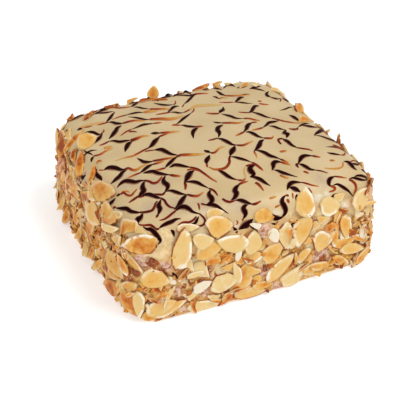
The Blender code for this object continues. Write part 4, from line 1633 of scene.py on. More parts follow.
real_skin = surface_of(cake_skin.data, icing_skin.data, glaze_runs.data)


def strew(name, weight, shapes, material, *measures):
    """One strewn piece, every lump of which touches what carries it."""
    values = {label: measure for (label, _), measure in zip(MEASURES, measures)}
    tree = strewing_tree(name, material, shapes is not almond_shapes)
    piece = grow(name, wall_mesh(name, weight), tree, Shapes=shapes, **values)
    settle(piece, shapes, real_skin)
    return piece


broken_almonds, almond_slivers, chopped_almonds, crumbs = (strew(*row) for row in STREWN)

# %% [markdown]
# ## Feathered chocolate
#
# The pattern is made while the glaze is wet. Lines of chocolate are piped from
# the back to the front, and a skewer is then drawn across them, to the left
# and to the right in turn. Each pass pulls every line into a point, and leaves
# a thin tail that fades as the chocolate mixes with the glaze. What stays
# thick between two passes is a short leaning stroke.
#
# Each stroke and each tail is read off the picture as the few pixels that it
# passes, with its half width there. Lines of sight take them onto the glaze,
# where two more, one to each side, give the width that the perspective hides.
# A tree then lays the curves on the glaze and sweeps a flat section along them.

# %% Strokes
# Half width in pixels, then X and Y of each pixel that the stroke passes.
STROKES = (
    (1.5, 86, 175, 82, 179, 80.5, 184), (1.1, 84.5, 196, 82.5, 203, 84, 208),
    (1.2, 72, 164, 75, 170, 74.5, 175), (0.9, 67.5, 131, 71, 133), (1.0, 90, 232, 94, 236, 97, 241),
    (1.1, 116, 243, 112, 247, 114, 252), (1.3, 70.5, 121.3, 75, 118.8, 80, 116.3, 84.5, 115.3),
    (1.2, 90.5, 114.5, 93, 112.4, 96.5, 110), (1.1, 105.5, 106.3, 109, 105, 113, 103.8, 118, 103.4),
    (1.0, 95, 113.5, 101, 111.3, 106, 109.3, 112, 107),
    (0.8, 92, 115, 98, 113.4, 104, 113, 110, 112, 114, 111.3),
    (1.7, 125.5, 103, 129, 101.5, 132, 99, 136.5, 98.2),
    (1.5, 115, 111.8, 112.5, 114.5, 110.5, 117.5, 108.5, 120, 106, 122.5),
    (1.3, 131, 107, 134, 105.2, 136.5, 103, 140, 101.8),
    (0.9, 133, 107, 138, 107.3, 143, 108.5, 150, 109.2), (2.3, 144.5, 99, 147, 96.5, 149, 93.5, 150, 91),
    (1.0, 153.5, 103, 158, 104, 163, 105, 168, 105.2, 174, 104.5),
    (1.4, 167, 112.8, 170, 110.5, 172.5, 108, 175, 106.5, 179, 106),
    (0.9, 169, 112.2, 175, 112.3, 179, 113, 184, 112.5),
    (0.9, 126, 115, 132, 113.8, 138, 112.7, 144, 112.7),
    (1.0, 128, 116.8, 135, 117.5, 140, 118.5, 145, 119.5, 151, 119.5),
    (1.4, 108, 122.3, 112, 122.2, 116, 123.5, 119.5, 123.8, 124, 123.2),
    (1.1, 131, 129.7, 138, 127, 143, 125, 148, 124.2, 155, 123.3),
    (2.0, 109, 139, 112.5, 135.5, 115.5, 131.5, 117.5, 128, 121.5, 125.5),
    (1.4, 83, 134, 88, 132.5, 93, 132.5, 98, 134.5, 101, 134.3), (1.1, 77, 130.3, 80, 129, 83, 127.6),
    (1.7, 90.5, 145.2, 95, 142, 98.5, 139, 100.5, 136.5, 102.5, 133.5),
    (1.0, 65.5, 131, 68.5, 130, 71.5, 130.3), (1.3, 108, 141.4, 114, 141, 120, 142, 126, 141, 132, 140),
    (2.1, 125, 152, 126.5, 148, 128.5, 144, 132, 141.3), (1.2, 150.5, 133.3, 155, 133.3, 161, 133),
    (2.2, 148, 148.5, 152, 145.5, 154.5, 142, 156.5, 139.5, 160, 136.3),
    (1.1, 180, 125.2, 184, 125.5, 188, 126.5, 195, 127, 200, 126.6),
    (1.3, 176, 124.5, 180, 121.8, 183, 119, 187, 116, 192, 112.5),
    (1.0, 157, 101.5, 161, 99, 166, 97, 172, 96.5), (0.9, 172, 97, 178, 94.5, 186, 92.5),
    (0.9, 177, 96, 184, 95.3, 190, 95.8, 196, 95),
    (1.3, 184, 104, 187, 102, 190.5, 98.5, 194, 95, 198, 94.3), (2.0, 165.5, 95, 168, 93, 171, 91),
    (1.8, 185, 91, 187, 89, 188.5, 87.3), (1.5, 201.5, 88, 204, 87.5, 206, 86, 209.5, 85.2),
    (0.9, 210.5, 87, 214, 88, 218, 89, 222.5, 89.8),
    (1.4, 216, 90.8, 219, 92.5, 221.5, 94.5, 225.5, 95.8), (0.9, 213, 96.3, 216, 97.3, 219.3, 99.3),
    (0.9, 227.5, 83.8, 231, 85.3, 235.5, 86.8), (0.9, 236.5, 88, 241, 87.5, 247, 86.5),
    (1.2, 249.5, 89, 253, 88, 256.5, 87, 261, 86), (0.8, 250, 88.8, 256, 89, 261, 90, 265.5, 91.5),
    (1.7, 268.8, 91.3, 266.5, 93.5, 267.5, 96, 270.5, 97.2),
    (0.9, 269, 96.5, 273, 98, 277, 99, 281.5, 98.3), (1.2, 283, 97.3, 285, 99.5, 287.8, 102),
    (0.6, 241, 94.6, 245, 94.4, 249.5, 94), (1.6, 235, 102.2, 238, 100, 240, 98, 244, 96.8),
    (0.8, 233, 102.3, 238, 102.3, 243, 102.8, 247, 103.3, 252.5, 103.3),
    (1.9, 219.3, 113.3, 221, 111.5, 223, 109.5, 223.2, 106.8),
    (1.2, 221, 113.8, 226, 115, 231, 116.5, 236, 118.3, 244, 118.6),
    (1.9, 248.5, 113, 251.5, 111.5, 253, 108.8, 255, 106.3, 259, 105.8),
    (1.2, 251, 112, 256, 113.2, 261, 115, 266, 117, 272, 118.3),
    (1.4, 262.5, 127.7, 266, 125.5, 269, 123, 274, 121.8, 279, 120.8),
    (1.1, 268.5, 126, 274, 126.7, 279, 128.7, 285.5, 130),
    (0.8, 279.5, 110.7, 285, 109.3, 289, 107.5, 293, 107.2),
    (1.5, 289, 115, 293, 116.8, 296, 119, 300.5, 121.7), (0.8, 213, 121.7, 217, 122.7, 223, 123),
    (2.3, 223, 124.8, 218.8, 127, 217.5, 130, 219.5, 133.5, 218.3, 137.5),
    (2.0, 198, 127.7, 194.5, 130, 192.8, 133.5, 193.5, 138.5),
    (2.2, 252, 122.6, 248.8, 124.3, 247, 127, 246.5, 129, 243.5, 132),
    (1.5, 245.5, 132, 250, 132.3, 254.5, 134.5, 258, 136.5, 264.5, 138.2),
    (2.3, 286, 129.8, 284.7, 132.5, 287.3, 135, 286.5, 138),
    (1.0, 298, 127.3, 301, 125.5, 305, 123.8, 309.5, 123.2),
    (1.1, 302, 126, 307, 126.2, 312, 127, 320, 127), (1.7, 314, 135.3, 318, 132.7, 322, 130.5, 326, 131),
    (0.8, 314, 135.5, 320, 136, 326, 138, 331, 140, 335, 141.5, 337, 143.5),
    (1.6, 282.5, 138.8, 285, 140, 288, 142, 292, 145.5, 298, 148),
    (0.9, 327, 152.3, 331, 153.5, 336, 154.3, 342, 155.3),
    (2.1, 272, 170.5, 273.3, 167, 273.3, 164, 276, 161.9, 282, 162.3),
    (1.4, 273.5, 169.8, 278, 170.8, 283, 173, 288, 174.5, 297.5, 177),
    (2.0, 298, 164, 300, 160.5, 301.5, 157.8, 305, 155.8, 313, 155.7),
    (1.5, 298.5, 163.8, 302, 164.8, 306, 167, 310, 169.3, 317, 170.3),
    (1.6, 343.5, 161.3, 348, 162.3, 351, 165, 353, 167.5, 357, 170.3),
    (0.9, 351, 162.7, 354, 164, 358, 164.5, 362, 163.7), (1.6, 359, 160, 361, 162, 363, 164),
    (0.8, 361, 169.5, 365, 171.5, 369.5, 174.7),
    (1.9, 331, 187, 328.7, 184, 329, 180.5, 331, 178, 335, 176.3),
    (1.4, 332.5, 185.5, 337, 184.3, 341, 186, 345, 188.5, 349, 191.5, 353.5, 197),
    (1.2, 331, 198, 333.5, 195.5, 338, 194.5, 343.5, 194.7),
    (1.2, 349, 178.8, 353, 178, 358, 179, 363, 180, 368.5, 179.8),
    (1.1, 353, 177.8, 357, 175.8, 362, 176, 366, 177.5, 371, 180),
    (0.9, 371, 180, 372.5, 184, 374, 188.5),
    (1.9, 287, 190, 288.3, 187, 290.2, 184, 294, 182.3, 302, 182.5),
    (1.9, 289, 187.5, 293, 188.3, 297, 190, 300.5, 192), (1.2, 297, 194, 296.5, 197, 296, 201),
    (1.6, 217, 138.8, 221, 139, 225, 140.8, 229, 143, 232, 144.6, 238, 145.3),
    (2.6, 234.8, 145.8, 233.5, 149, 231.5, 152.5, 230, 156), (1.3, 204, 150, 207, 151.5, 211, 153),
    (2.2, 209.5, 155, 208, 158, 206.5, 161.5, 206.8, 164.5),
    (2.3, 264, 139.5, 260.8, 141.5, 259.5, 145, 257.5, 148, 254, 151.5),
    (1.6, 256, 150.5, 260, 151, 265, 153, 270, 156, 275, 157.3, 281, 159.3),
    (1.2, 230, 156.5, 235, 157.2, 240, 158.7, 246, 160.3, 252, 162.5),
    (2.6, 256, 164.5, 251.3, 166.5, 250, 169, 251.3, 172, 253.5, 175, 250, 177.3),
    (1.6, 250, 177, 255, 177.5, 260, 179.5, 265, 183, 270.5, 186),
    (1.6, 217, 170, 220, 171, 224, 173.5, 228, 176.5, 232, 178.5, 238.5, 180.2),
    (2.4, 240, 184, 236.5, 187, 235, 190.5, 236.3, 194, 234.5, 198, 231, 200.3),
    (1.5, 185, 182.3, 191, 181.8, 197, 182.8, 202, 185.3, 209, 188.3),
    (1.7, 235, 200.5, 239, 200.3, 243, 201.2, 248, 203, 253, 204.5),
    (2.4, 249, 203.5, 244.8, 206, 243.5, 209, 245, 212.5, 245, 215.5, 243, 219),
    (2.3, 286, 195, 283, 198, 282, 202, 284, 206, 285.5, 210, 284.5, 214, 281, 217.8),
    (2.6, 283, 217, 278, 218.5, 275, 217.5, 271.5, 214),
    (2.4, 210.5, 189.5, 209, 194, 211.5, 198.5, 211.5, 202, 207, 204.3),
    (1.7, 204, 204.5, 208, 205, 212, 204.9, 216, 206, 221, 209, 228.5, 213.7),
    (1.5, 137, 158, 140.5, 160, 144, 162, 148, 162.2, 154, 161),
    (1.9, 154, 150, 158, 149.8, 162, 150, 166, 152, 171, 154.3, 179, 155.6),
    (1.5, 165, 168, 167.5, 165.5, 170.5, 162.5, 174, 159, 178, 156.5),
    (1.5, 169, 167.3, 172, 166.5, 175, 165.2, 180, 165.7, 186, 166.8, 192, 167.6),
    (1.4, 140, 173, 143, 171, 146.5, 168, 150, 165.5, 154, 163.8),
    (1.7, 143, 173.3, 147, 172.5, 153, 171.8, 158, 173.5, 164, 174.5, 171, 175),
    (2.0, 104, 170.2, 107, 168.5, 111, 167.8, 116, 168.6, 121, 170, 126, 169.3),
    (1.7, 110.5, 184, 115, 180.5, 119.5, 176.5, 122.5, 172.5, 127, 169.8),
    (1.9, 117, 187.7, 120.5, 184, 125, 181.5, 130, 181.6, 135, 182.4, 140, 181, 145, 180.4),
    (2.4, 144.8, 181, 143, 184.5, 142.7, 188, 143.7, 191, 141, 194.5, 138, 197),
    (2.3, 165.5, 175.5, 163.5, 179.5, 164.3, 182.5, 167.3, 185.5, 167.5, 188.5, 164.5, 192.5),
    (2.6, 194, 170.8, 190.5, 172.8, 188.5, 176, 187, 179, 184.3, 183),
    (1.5, 166, 191.6, 171, 190.8, 176, 192.3, 181, 194, 187, 194.6),
    (1.8, 141, 195.8, 145, 195, 149, 194.7, 153, 196, 158, 198, 162, 198.2),
    (2.1, 187, 194.5, 184, 197.5, 181, 202, 178.5, 206, 174, 209.8),
    (2.0, 97, 169, 95.5, 172.5, 98, 176, 101, 178.5, 101.8, 181.5),
    (1.1, 116.3, 196, 118.5, 195, 120.7, 194.3),
    (1.4, 115.7, 198, 113, 201.5, 110.5, 203.5, 108.3, 206.7),
    (1.9, 115, 207.7, 119, 208.3, 123, 208.5, 127, 209, 131, 211.5, 137, 212.6, 141, 212.5),
    (2.4, 143, 213, 141, 217, 138.5, 219.5, 137.3, 222.5, 138, 226),
    (2.2, 161, 199.3, 159.5, 203, 158.7, 206, 160, 209, 159.3, 212, 157.5, 215.5),
    (2.1, 175, 211.3, 178, 209, 181, 207.5, 185, 207.3, 189, 209.2, 193, 212, 200.5, 214),
    (1.8, 158.5, 228.7, 162, 226, 167, 223.5, 172, 221.5, 176, 219.3, 181, 218.6),
    (1.3, 199, 216, 197, 220, 195, 223, 191, 223.8), (0.8, 150, 228.3, 155, 231, 158.5, 234.3),
    (2.1, 143, 226.7, 147, 229, 151, 229.5, 155, 233, 158.5, 237.5, 160.5, 241, 158, 244.5),
    (1.4, 170.5, 229.8, 173, 232, 174.3, 237), (3.0, 237, 232, 243, 226.5, 248, 223.3, 253, 219),
    (1.5, 233.3, 227, 235.5, 230, 237.3, 233.5), (0.9, 271, 223.5, 277.5, 224.5),
    (0.8, 213, 237, 216, 239), (0.9, 298, 220, 295, 222, 292, 224.5, 294, 229),
    (1.6, 334, 218.5, 337, 215.5, 339, 215), (0.9, 340, 223, 340.5, 227),
    (1.6, 172, 272, 175, 276, 178, 279), (1.0, 79, 150, 76.5, 152, 75.5, 158, 75, 162.5),
    (0.9, 83, 149.5, 86, 152, 90, 153.5, 93.5, 155.5), (1.1, 94, 156, 92, 159, 91.5, 162.3),
    (0.8, 72, 166, 71, 170), (1.1, 81, 178, 85, 177), (0.7, 83, 187, 82, 194),
)
print("strokes:", len(STROKES))

# %% Tails that the skewer drew
# Half width in pixels and fade at both ends, from 0 for chocolate to 1 for
# hardly darker than the glaze, then X and Y of each pixel that it passes.
TAILS = (
    (0.6, 0.5, 0.6, 112, 107, 120, 108, 131, 106.8),
    (0.8, 0.4, 0.9, 150, 109.2, 157, 109.3, 165, 109, 172, 109.2),
    (0.6, 0.4, 0.6, 174, 104.7, 175.5, 103, 175, 100.5),
    (0.6, 0.35, 0.65, 184, 112.5, 189, 110, 194, 106.8),
    (0.6, 0.4, 0.6, 170, 112.3, 163, 113.6, 156, 114.6),
    (0.5, 0.4, 0.6, 127, 115, 120, 116.8, 112, 119.5), (1.0, 0.7, 0.9, 144, 112.6, 150, 111.6, 157, 111),
    (1.1, 0.5, 0.98, 150, 119.4, 160, 119, 170, 119.2, 178, 117.6, 183, 115),
    (0.6, 0.4, 0.7, 108, 122.3, 102, 124, 97, 125.2),
    (0.8, 0.3, 0.85, 123, 123.4, 129, 121.7, 136, 120.6, 145, 121),
    (0.6, 0.35, 0.6, 131, 129.6, 126, 132, 120.5, 135.8), (0.6, 0.35, 0.8, 154, 123.4, 162, 122.5),
    (0.6, 0.4, 0.5, 129, 132, 133, 131.6, 137, 132.2), (0.5, 0.4, 0.5, 101, 134, 104, 131, 103, 129.5),
    (0.5, 0.4, 0.5, 83, 127.5, 88, 127, 92, 126),
    (0.8, 0.3, 0.95, 131, 140, 136, 138.5, 142, 136.5, 150, 135.6),
    (0.6, 0.3, 0.6, 109, 141.3, 104, 144, 99, 145.6),
    (0.8, 0.3, 0.7, 131.5, 141.5, 136, 139.5, 141, 137.5),
    (0.8, 0.35, 0.95, 160, 133, 166, 132.6, 172, 132.2, 180, 131),
    (0.7, 0.3, 0.8, 159, 136.8, 164, 134.8, 170, 132.6),
    (0.7, 0.3, 0.95, 149, 147.8, 144, 150.2, 138, 153.5, 132, 156.3, 124, 158, 115, 161),
    (0.6, 0.5, 0.7, 180, 125.2, 172, 125.3), (0.7, 0.35, 0.6, 195, 127.1, 203, 126.2),
    (0.6, 0.35, 0.6, 176, 124.5, 172, 125.6), (0.6, 0.4, 0.6, 192, 112.6, 194, 110, 193, 107.5),
    (0.9, 0.6, 0.8, 136, 101, 143, 100.5, 150, 99.7, 158, 98.5),
    (0.7, 0.3, 0.7, 190, 95.5, 196, 94.1, 202, 93.6, 208, 93.6), (0.6, 0.4, 0.6, 184, 104.4, 182, 107.5),
    (1.0, 0.9, 1, 190, 110, 194, 107, 200, 105.6, 210, 105.1, 222, 104.6),
    (0.7, 0.5, 0.85, 225, 95.8, 232, 96, 240, 95.6, 250, 94.6),
    (0.6, 0.6, 0.9, 219, 99.2, 222, 97.8, 228, 98.5),
    (0.5, 0.45, 0.6, 233, 102.3, 225, 102.6, 219, 102.3), (0.6, 0.5, 0.7, 258, 101, 262, 101.6),
    (0.6, 0.5, 0.7, 259, 103.6, 264, 104.4, 269, 104.6),
    (0.7, 0.35, 0.7, 219, 113.8, 212, 113.8, 206, 113),
    (0.7, 0.4, 0.75, 244, 118.6, 249, 118.6, 255, 120, 260, 120.6),
    (0.5, 0.4, 0.6, 249, 112.8, 243, 112.6, 238, 112),
    (0.6, 0.3, 0.7, 272, 118.3, 278, 119.8, 285, 121.5, 292, 122.6, 299, 123.6),
    (0.7, 0.3, 0.8, 262.5, 127.7, 258, 129.1, 252, 130.3), (0.6, 0.3, 0.6, 281, 99, 280, 102),
    (0.8, 0.4, 0.9, 222, 123, 230, 123, 238, 123, 244, 121.5),
    (0.6, 0.3, 0.5, 217.5, 138, 213, 139.6, 208, 140.6), (0.6, 0.35, 0.6, 252, 122.6, 257, 122),
    (0.8, 0.35, 0.75, 244, 131.8, 240, 134, 235.5, 136),
    (0.8, 0.35, 0.8, 264, 138.2, 269, 138.4, 272, 137.8, 273.5, 135.8),
    (0.8, 0.3, 0.5, 297.5, 127.5, 297, 129, 293, 129.5, 289, 128.5),
    (0.7, 0.3, 0.5, 320, 127, 324, 130, 327.5, 135),
    (0.8, 0.3, 0.4, 281, 144.3, 279, 141.7, 278.3, 139.7, 281, 138.7, 284, 139.3),
    (0.6, 0.25, 0.6, 297, 147.8, 303, 148.6, 309, 149.6, 312.5, 151),
    (0.7, 0.6, 0.5, 342, 155.3, 344.5, 154.5, 345, 152.5),
    (0.7, 0.3, 0.8, 281, 162.2, 285, 163.5, 290.5, 165), (0.7, 0.3, 0.8, 280, 159, 284, 160.8, 289, 163),
    (0.7, 0.25, 0.7, 312, 155.7, 316, 156.5, 320.5, 157.2),
    (0.9, 0.3, 0.3, 298, 163.5, 296.5, 165, 298.5, 167.7),
    (0.5, 0.25, 0.4, 316, 170.2, 322, 171.2, 328, 173.2),
    (0.6, 0.7, 0.85, 343, 162.5, 342.5, 166.5, 338, 168.4, 330, 168.6, 324, 168),
    (0.5, 0.5, 0.7, 350, 162, 353, 160.5, 358, 160), (0.6, 0.35, 0.7, 334, 176.3, 340, 177, 347, 178.2),
    (0.9, 0.5, 0.6, 330.5, 186, 333, 186.8, 335, 188.2, 333.5, 190.5, 329, 192),
    (0.9, 0.4, 0.65, 349, 179.6, 352, 181, 355, 184, 356, 188, 355, 191.5, 353.7, 196),
    (0.6, 0.3, 0.7, 302, 182.5, 307, 183.7, 312, 185.2, 319, 186.4),
    (0.7, 0.6, 0.6, 308, 188, 310, 190.5, 312, 193), (0.7, 0.6, 0.8, 330, 160.6, 335, 160.3),
    (0.7, 0.5, 0.6, 303.5, 171.3, 309, 173.5), (0.7, 0.6, 0.8, 280, 175.4, 284, 177, 288.5, 178.6),
    (0.8, 0.65, 0.7, 280, 152, 286.5, 150.6), (0.7, 0.5, 0.5, 333, 145, 338, 147.2, 343, 149.4),
    (0.8, 0.3, 0.9, 237, 145.3, 243, 145.4, 248, 143.2, 253, 141),
    (1.0, 0.3, 0.7, 230, 156, 229.3, 159, 229.5, 162, 227.5, 166, 224, 168.6, 219, 169.6, 214, 169.4, 209,
     167.2),
    (0.8, 0.35, 0.95, 211, 153, 214.5, 152.7, 217, 150.6, 220, 148, 225, 146.6),
    (0.8, 0.5, 0.6, 206.8, 164, 207.3, 167.5), (0.7, 0.5, 0.95, 254, 151.5, 256, 155, 257, 158.5),
    (0.9, 0.3, 0.6, 252, 162.5, 256, 164.8, 260, 168, 263, 170.7),
    (0.8, 0.45, 0.5, 246, 166.2, 250, 165.2, 256, 164.6),
    (0.6, 0.9, 0.95, 245, 167, 244, 172, 245.5, 177, 243.5, 180.3),
    (0.9, 0.35, 0.65, 255.5, 182.5, 259, 185, 263.7, 191),
    (0.7, 0.4, 0.7, 238, 180.2, 243, 180.4, 245.5, 178.3),
    (0.8, 0.3, 0.7, 239, 184.5, 242, 183, 247.7, 181.2),
    (0.8, 0.25, 0.45, 209, 188.3, 213, 190.2, 215.5, 192.5, 217.8, 196),
    (0.8, 0.3, 0.6, 190, 167.2, 197, 169, 201.5, 171.8, 206, 175, 211.5, 179, 217, 182),
    (0.6, 0.5, 0.6, 187, 170.2, 192, 169.4, 198, 170.7, 202, 172.5),
    (1.0, 0.35, 1, 179, 155.5, 185, 155, 195, 154.7, 205, 153.9),
    (0.5, 0.4, 0.4, 145, 151.6, 150, 150.6, 156, 150),
    (0.8, 0.3, 0.8, 153, 161.1, 160, 160, 168, 158.5, 175, 157),
    (0.7, 0.25, 0.5, 176, 157.5, 179.5, 156, 184, 155), (0.7, 0.3, 0.8, 165, 168, 160, 169.5, 154, 170.2),
    (0.6, 0.3, 0.8, 141, 172.5, 134, 175.3, 127, 178.4),
    (0.7, 0.3, 0.8, 153, 164.5, 158, 163, 164, 161.3),
    (0.9, 0.25, 0.7, 170, 175, 175, 175.9, 180.5, 176.4), (0.5, 0.5, 0.7, 99, 170, 104.5, 170.3),
    (0.9, 0.3, 1, 125, 169.4, 128.5, 168.3, 133, 170.2, 137, 169.6, 142, 166.4, 148, 164),
    (0.9, 0.3, 0.6, 144, 180.5, 149, 181.5, 153, 183.3, 157, 182.5, 160, 179.5, 162, 176.5),
    (0.8, 0.3, 0.45, 139.5, 195.5, 134.5, 199, 129, 202.7),
    (0.7, 0.25, 0.4, 137, 197, 141, 196.8, 145, 195.6),
    (0.8, 0.25, 0.35, 165, 192, 162.5, 194.6, 157, 194.5, 153, 193.8),
    (1.0, 0.3, 0.5, 184.7, 182.5, 185.6, 185.5, 185.3, 189.8),
    (0.9, 0.25, 0.8, 187, 194.5, 193, 196, 198, 195.8, 203.5, 192),
    (0.9, 0.2, 0.35, 161, 198.2, 164.5, 200.6, 166.5, 204, 170, 207, 175, 208.3),
    (0.8, 0.4, 0.6, 120.5, 194, 124, 193, 127, 195, 131, 195.6, 134, 192.4, 137, 189),
    (0.5, 0.6, 0.8, 122, 191.6, 127, 191.4, 130, 192.8),
    (0.9, 0.25, 0.4, 140, 212.6, 146, 212.2, 152, 210.5, 154.7, 206.5, 155.5, 203.5, 157.5, 201),
    (0.9, 0.4, 0.5, 113, 207.7, 116, 207.2), (0.9, 0.2, 0.45, 158, 214.5, 156.3, 217.7),
    (0.8, 0.25, 0.5, 175.5, 211, 172.5, 213.3, 168, 217, 164, 219.3, 159.3, 220.4),
    (0.8, 0.25, 0.4, 199.5, 213.8, 203, 217, 205, 220.3, 204, 224, 200, 226, 194, 226, 190, 225.4),
    (0.9, 0.25, 0.5, 159, 228.8, 156, 229, 153, 226.6, 150, 225, 144, 225.3, 138.5, 224.5),
    (0.8, 0.3, 0.5, 196.5, 216.5, 193, 220.2, 189, 222.2, 183, 222.3, 178, 225),
    (0.9, 0.25, 0.45, 222.3, 198.8, 226, 201.2, 230, 202, 235, 200.7),
    (0.9, 0.25, 0.6, 252, 204.4, 256, 203.7, 261, 201), (0.7, 0.5, 0.6, 243, 218.5, 242.3, 221),
    (0.7, 0.45, 0.5, 198, 203, 199, 206, 199.5, 210), (0.7, 0.3, 0.4, 201, 203.6, 206, 205),
    (0.8, 0.45, 0.5, 288.8, 195.6, 285.5, 195.2), (0.9, 0.55, 0.6, 287.3, 199, 289, 203.2),
    (0.6, 0.6, 0.6, 292.5, 193, 293, 198.5), (0.7, 0.75, 0.85, 269.3, 198.7, 276.3, 196.4),
    (0.7, 0.6, 0.7, 275, 207.3, 280, 205), (0.5, 0.6, 0.7, 227, 218, 230, 221, 233, 225.4),
    (0.5, 0.5, 0.6, 236.5, 220.3, 237.7, 222.8, 236, 225),
    (0.8, 0.2, 0.25, 250, 226, 254, 228.3, 260, 229),
    (0.7, 0.4, 0.9, 94, 156, 100, 154.6, 106, 151, 113, 148.2), (0.9, 0.8, 0.9, 104, 148.3, 112, 146.5),
    (0.8, 0.85, 1, 80, 128, 92, 124.5, 104, 121.5),
)
print("tails:", len(TAILS))

# %% From pixels to curves with width and fade
STEPS_BETWEEN = 4
WIDEST_MM = 3.2
CAKE_MIDDLE = Vector((215, 170))
DRAW_STEP = 0.4
DRAW_STEPS = 16
SPREAD_FROM, SPREAD_OVER = 90, 90
NEAR_SPREAD, FAR_SPREAD = 1.44, 1.10
LEAF_TIP, TIP_FADE = 0.16, 0.26


def smooth_through(points, steps):
    """Catmull-Rom curve through points."""
    points = [points[0] * 2 - points[1], *points, points[-1] * 2 - points[-2]]
    result = []
    for a, b, c, d in zip(points, points[1:], points[2:], points[3:]):
        for step in range(steps):
            t = step / steps
            result.append(0.5 * (2 * b + (c - a) * t + (2 * a - 5 * b + 4 * c - d) * t * t
                                 + (3 * b - a - 3 * c + d) * t ** 3))
    return result + [points[-2]]


def drawn_in(pixel):
    """The pixel, moved towards the cake's middle until the cake is behind it."""
    step = (CAKE_MIDDLE - pixel).normalized() * DRAW_STEP
    for _ in range(DRAW_STEPS):
        if coat.ray_cast(camera.location, sight(pixel))[0] is not None:
            break
        pixel = pixel + step
    return pixel


def real_half_width(pixel, across, pixels, along):
    """Half the width on the skin, square to `along`, of a line so many pixels wide."""
    left, right = (seen(coat, pixel + across * reach)[0] for reach in (-pixels, pixels))
    apart = (right - left) / 2
    return min((apart - along * along.dot(apart)).length, WIDEST_MM * MM)


def pixel_curve(half_width, places, thickness, fade):
    """(point, half width, fade) along pixels; the last two are functions of 0 to 1."""
    # What the blur of the picture hides of a line's width is more near the front.
    near = min(1.0, max(0.0, (places[1] - SPREAD_FROM) / SPREAD_OVER))
    half_width *= FAR_SPREAD + (NEAR_SPREAD - FAR_SPREAD) * near
    pixels = [drawn_in(Vector(places[i:i + 2])) for i in range(0, len(places), 2)]
    pixels = smooth_through(pixels, STEPS_BETWEEN)
    last = len(pixels) - 1
    points = [seen(coat, pixel)[0] for pixel in pixels]
    samples = []
    for i, (pixel, point) in enumerate(zip(pixels, points)):
        before, after = max(i - 1, 0), min(i + 1, last)
        step = (pixels[after] - pixels[before]).normalized()
        along = (points[after] - points[before]).normalized()
        wide = real_half_width(pixel, Vector((-step.y, step.x)), half_width, along)
        samples.append((point, wide * thickness(i / last), fade(i / last)))
    return samples


def leaf(share):
    """Thickness of a stroke along its length: pointed at both ends."""
    return LEAF_TIP + (1 - LEAF_TIP) * math.sin(math.pi * share) ** 1.1


def leaf_fade(share):
    """A stroke is thinner, and so browner, at its very ends."""
    return max(0.0, TIP_FADE - 1.1 * math.sin(math.pi * share))


def tail(share):
    """Thickness of a tail: it starts broad and thins out."""
    return 0.50 + 0.70 * math.sin(math.pi * (0.15 + 0.85 * share)) ** 0.8


def stroke_curve(half_width, *places):
    return pixel_curve(half_width, places, leaf, leaf_fade)


def tail_curve(half_width, first, last, *places):
    return pixel_curve(half_width, places, tail, lambda share: first + (last - first) * share)


print("samples along one stroke:", len(stroke_curve(*STROKES[0])))

# %% Chocolate that ran over the edges behind
# Side, half width in millimetres, then along and down from the rim.
HIDDEN_DRIPS = (
    (BACK, 1.4, (-20, -3), (-17, 4), (-19, 9)), (BACK, 1.3, (-48, -2), (-50, 4), (-47, 9)),
    (BACK, 1.5, (14, 4), (17, 9), (15, 15)), (BACK, 1.3, (44, 3), (41, 9), (43, 14)),
    (RIGHT, 1.4, (-48, -4), (-46, 3), (-50, 9)), (RIGHT, 1.3, (-14, 6), (-12, 10), (-16, 15)),
    (RIGHT, 1.4, (22, 4), (25, 8), (22, 13)), (RIGHT, 1.2, (50, 4), (47, 9), (49, 13)),
    (LEFT, 1.1, (-20, 0), (-22, 5), (-19, 11)),
)
DRIP_STEPS = 6
PROUD_OF_WALL = 0.0004


def down_from_rim(side, along, down):
    """Point of the glaze or the wall, `down` metres past the shoulder's end."""
    way = way_of(side, along)
    length = ROLL * math.pi / 2
    if down < 0:
        return skin(way, GLAZE_BACK + ROLL - down, TOP)
    if down < length:
        return skin(way, *on_roll(math.pi / 2 - down / ROLL))
    return skin(way, -PROUD_OF_WALL, SHOULDER - (down - length))


def drip_curve(side, half_width, *places):
    flat = smooth_through([Vector(place) for place in places], DRIP_STEPS)
    last = len(flat) - 1
    points = [down_from_rim(side, place.x * MM, place.y * MM) for place in flat]
    return [(point, half_width * MM * leaf(i / last), 0.0) for i, point in enumerate(points)]


print("drips behind:", len(HIDDEN_DRIPS))

# %% Lay the curves and sweep them
def line_mesh(name, curves):
    """Edges along every curve, with half width and fade on each point."""
    samples, edges = [], []
    for curve in curves:
        edges += [(i, i + 1) for i in range(len(samples), len(samples) + len(curve) - 1)]
        samples += curve
    points, widths, fades = zip(*samples)
    mesh = bpy.data.meshes.new(name)
    mesh.from_pydata(points, edges, [])
    add_layer(mesh, "half_width", widths)
    add_layer(mesh, "fade", fades)
    return mesh


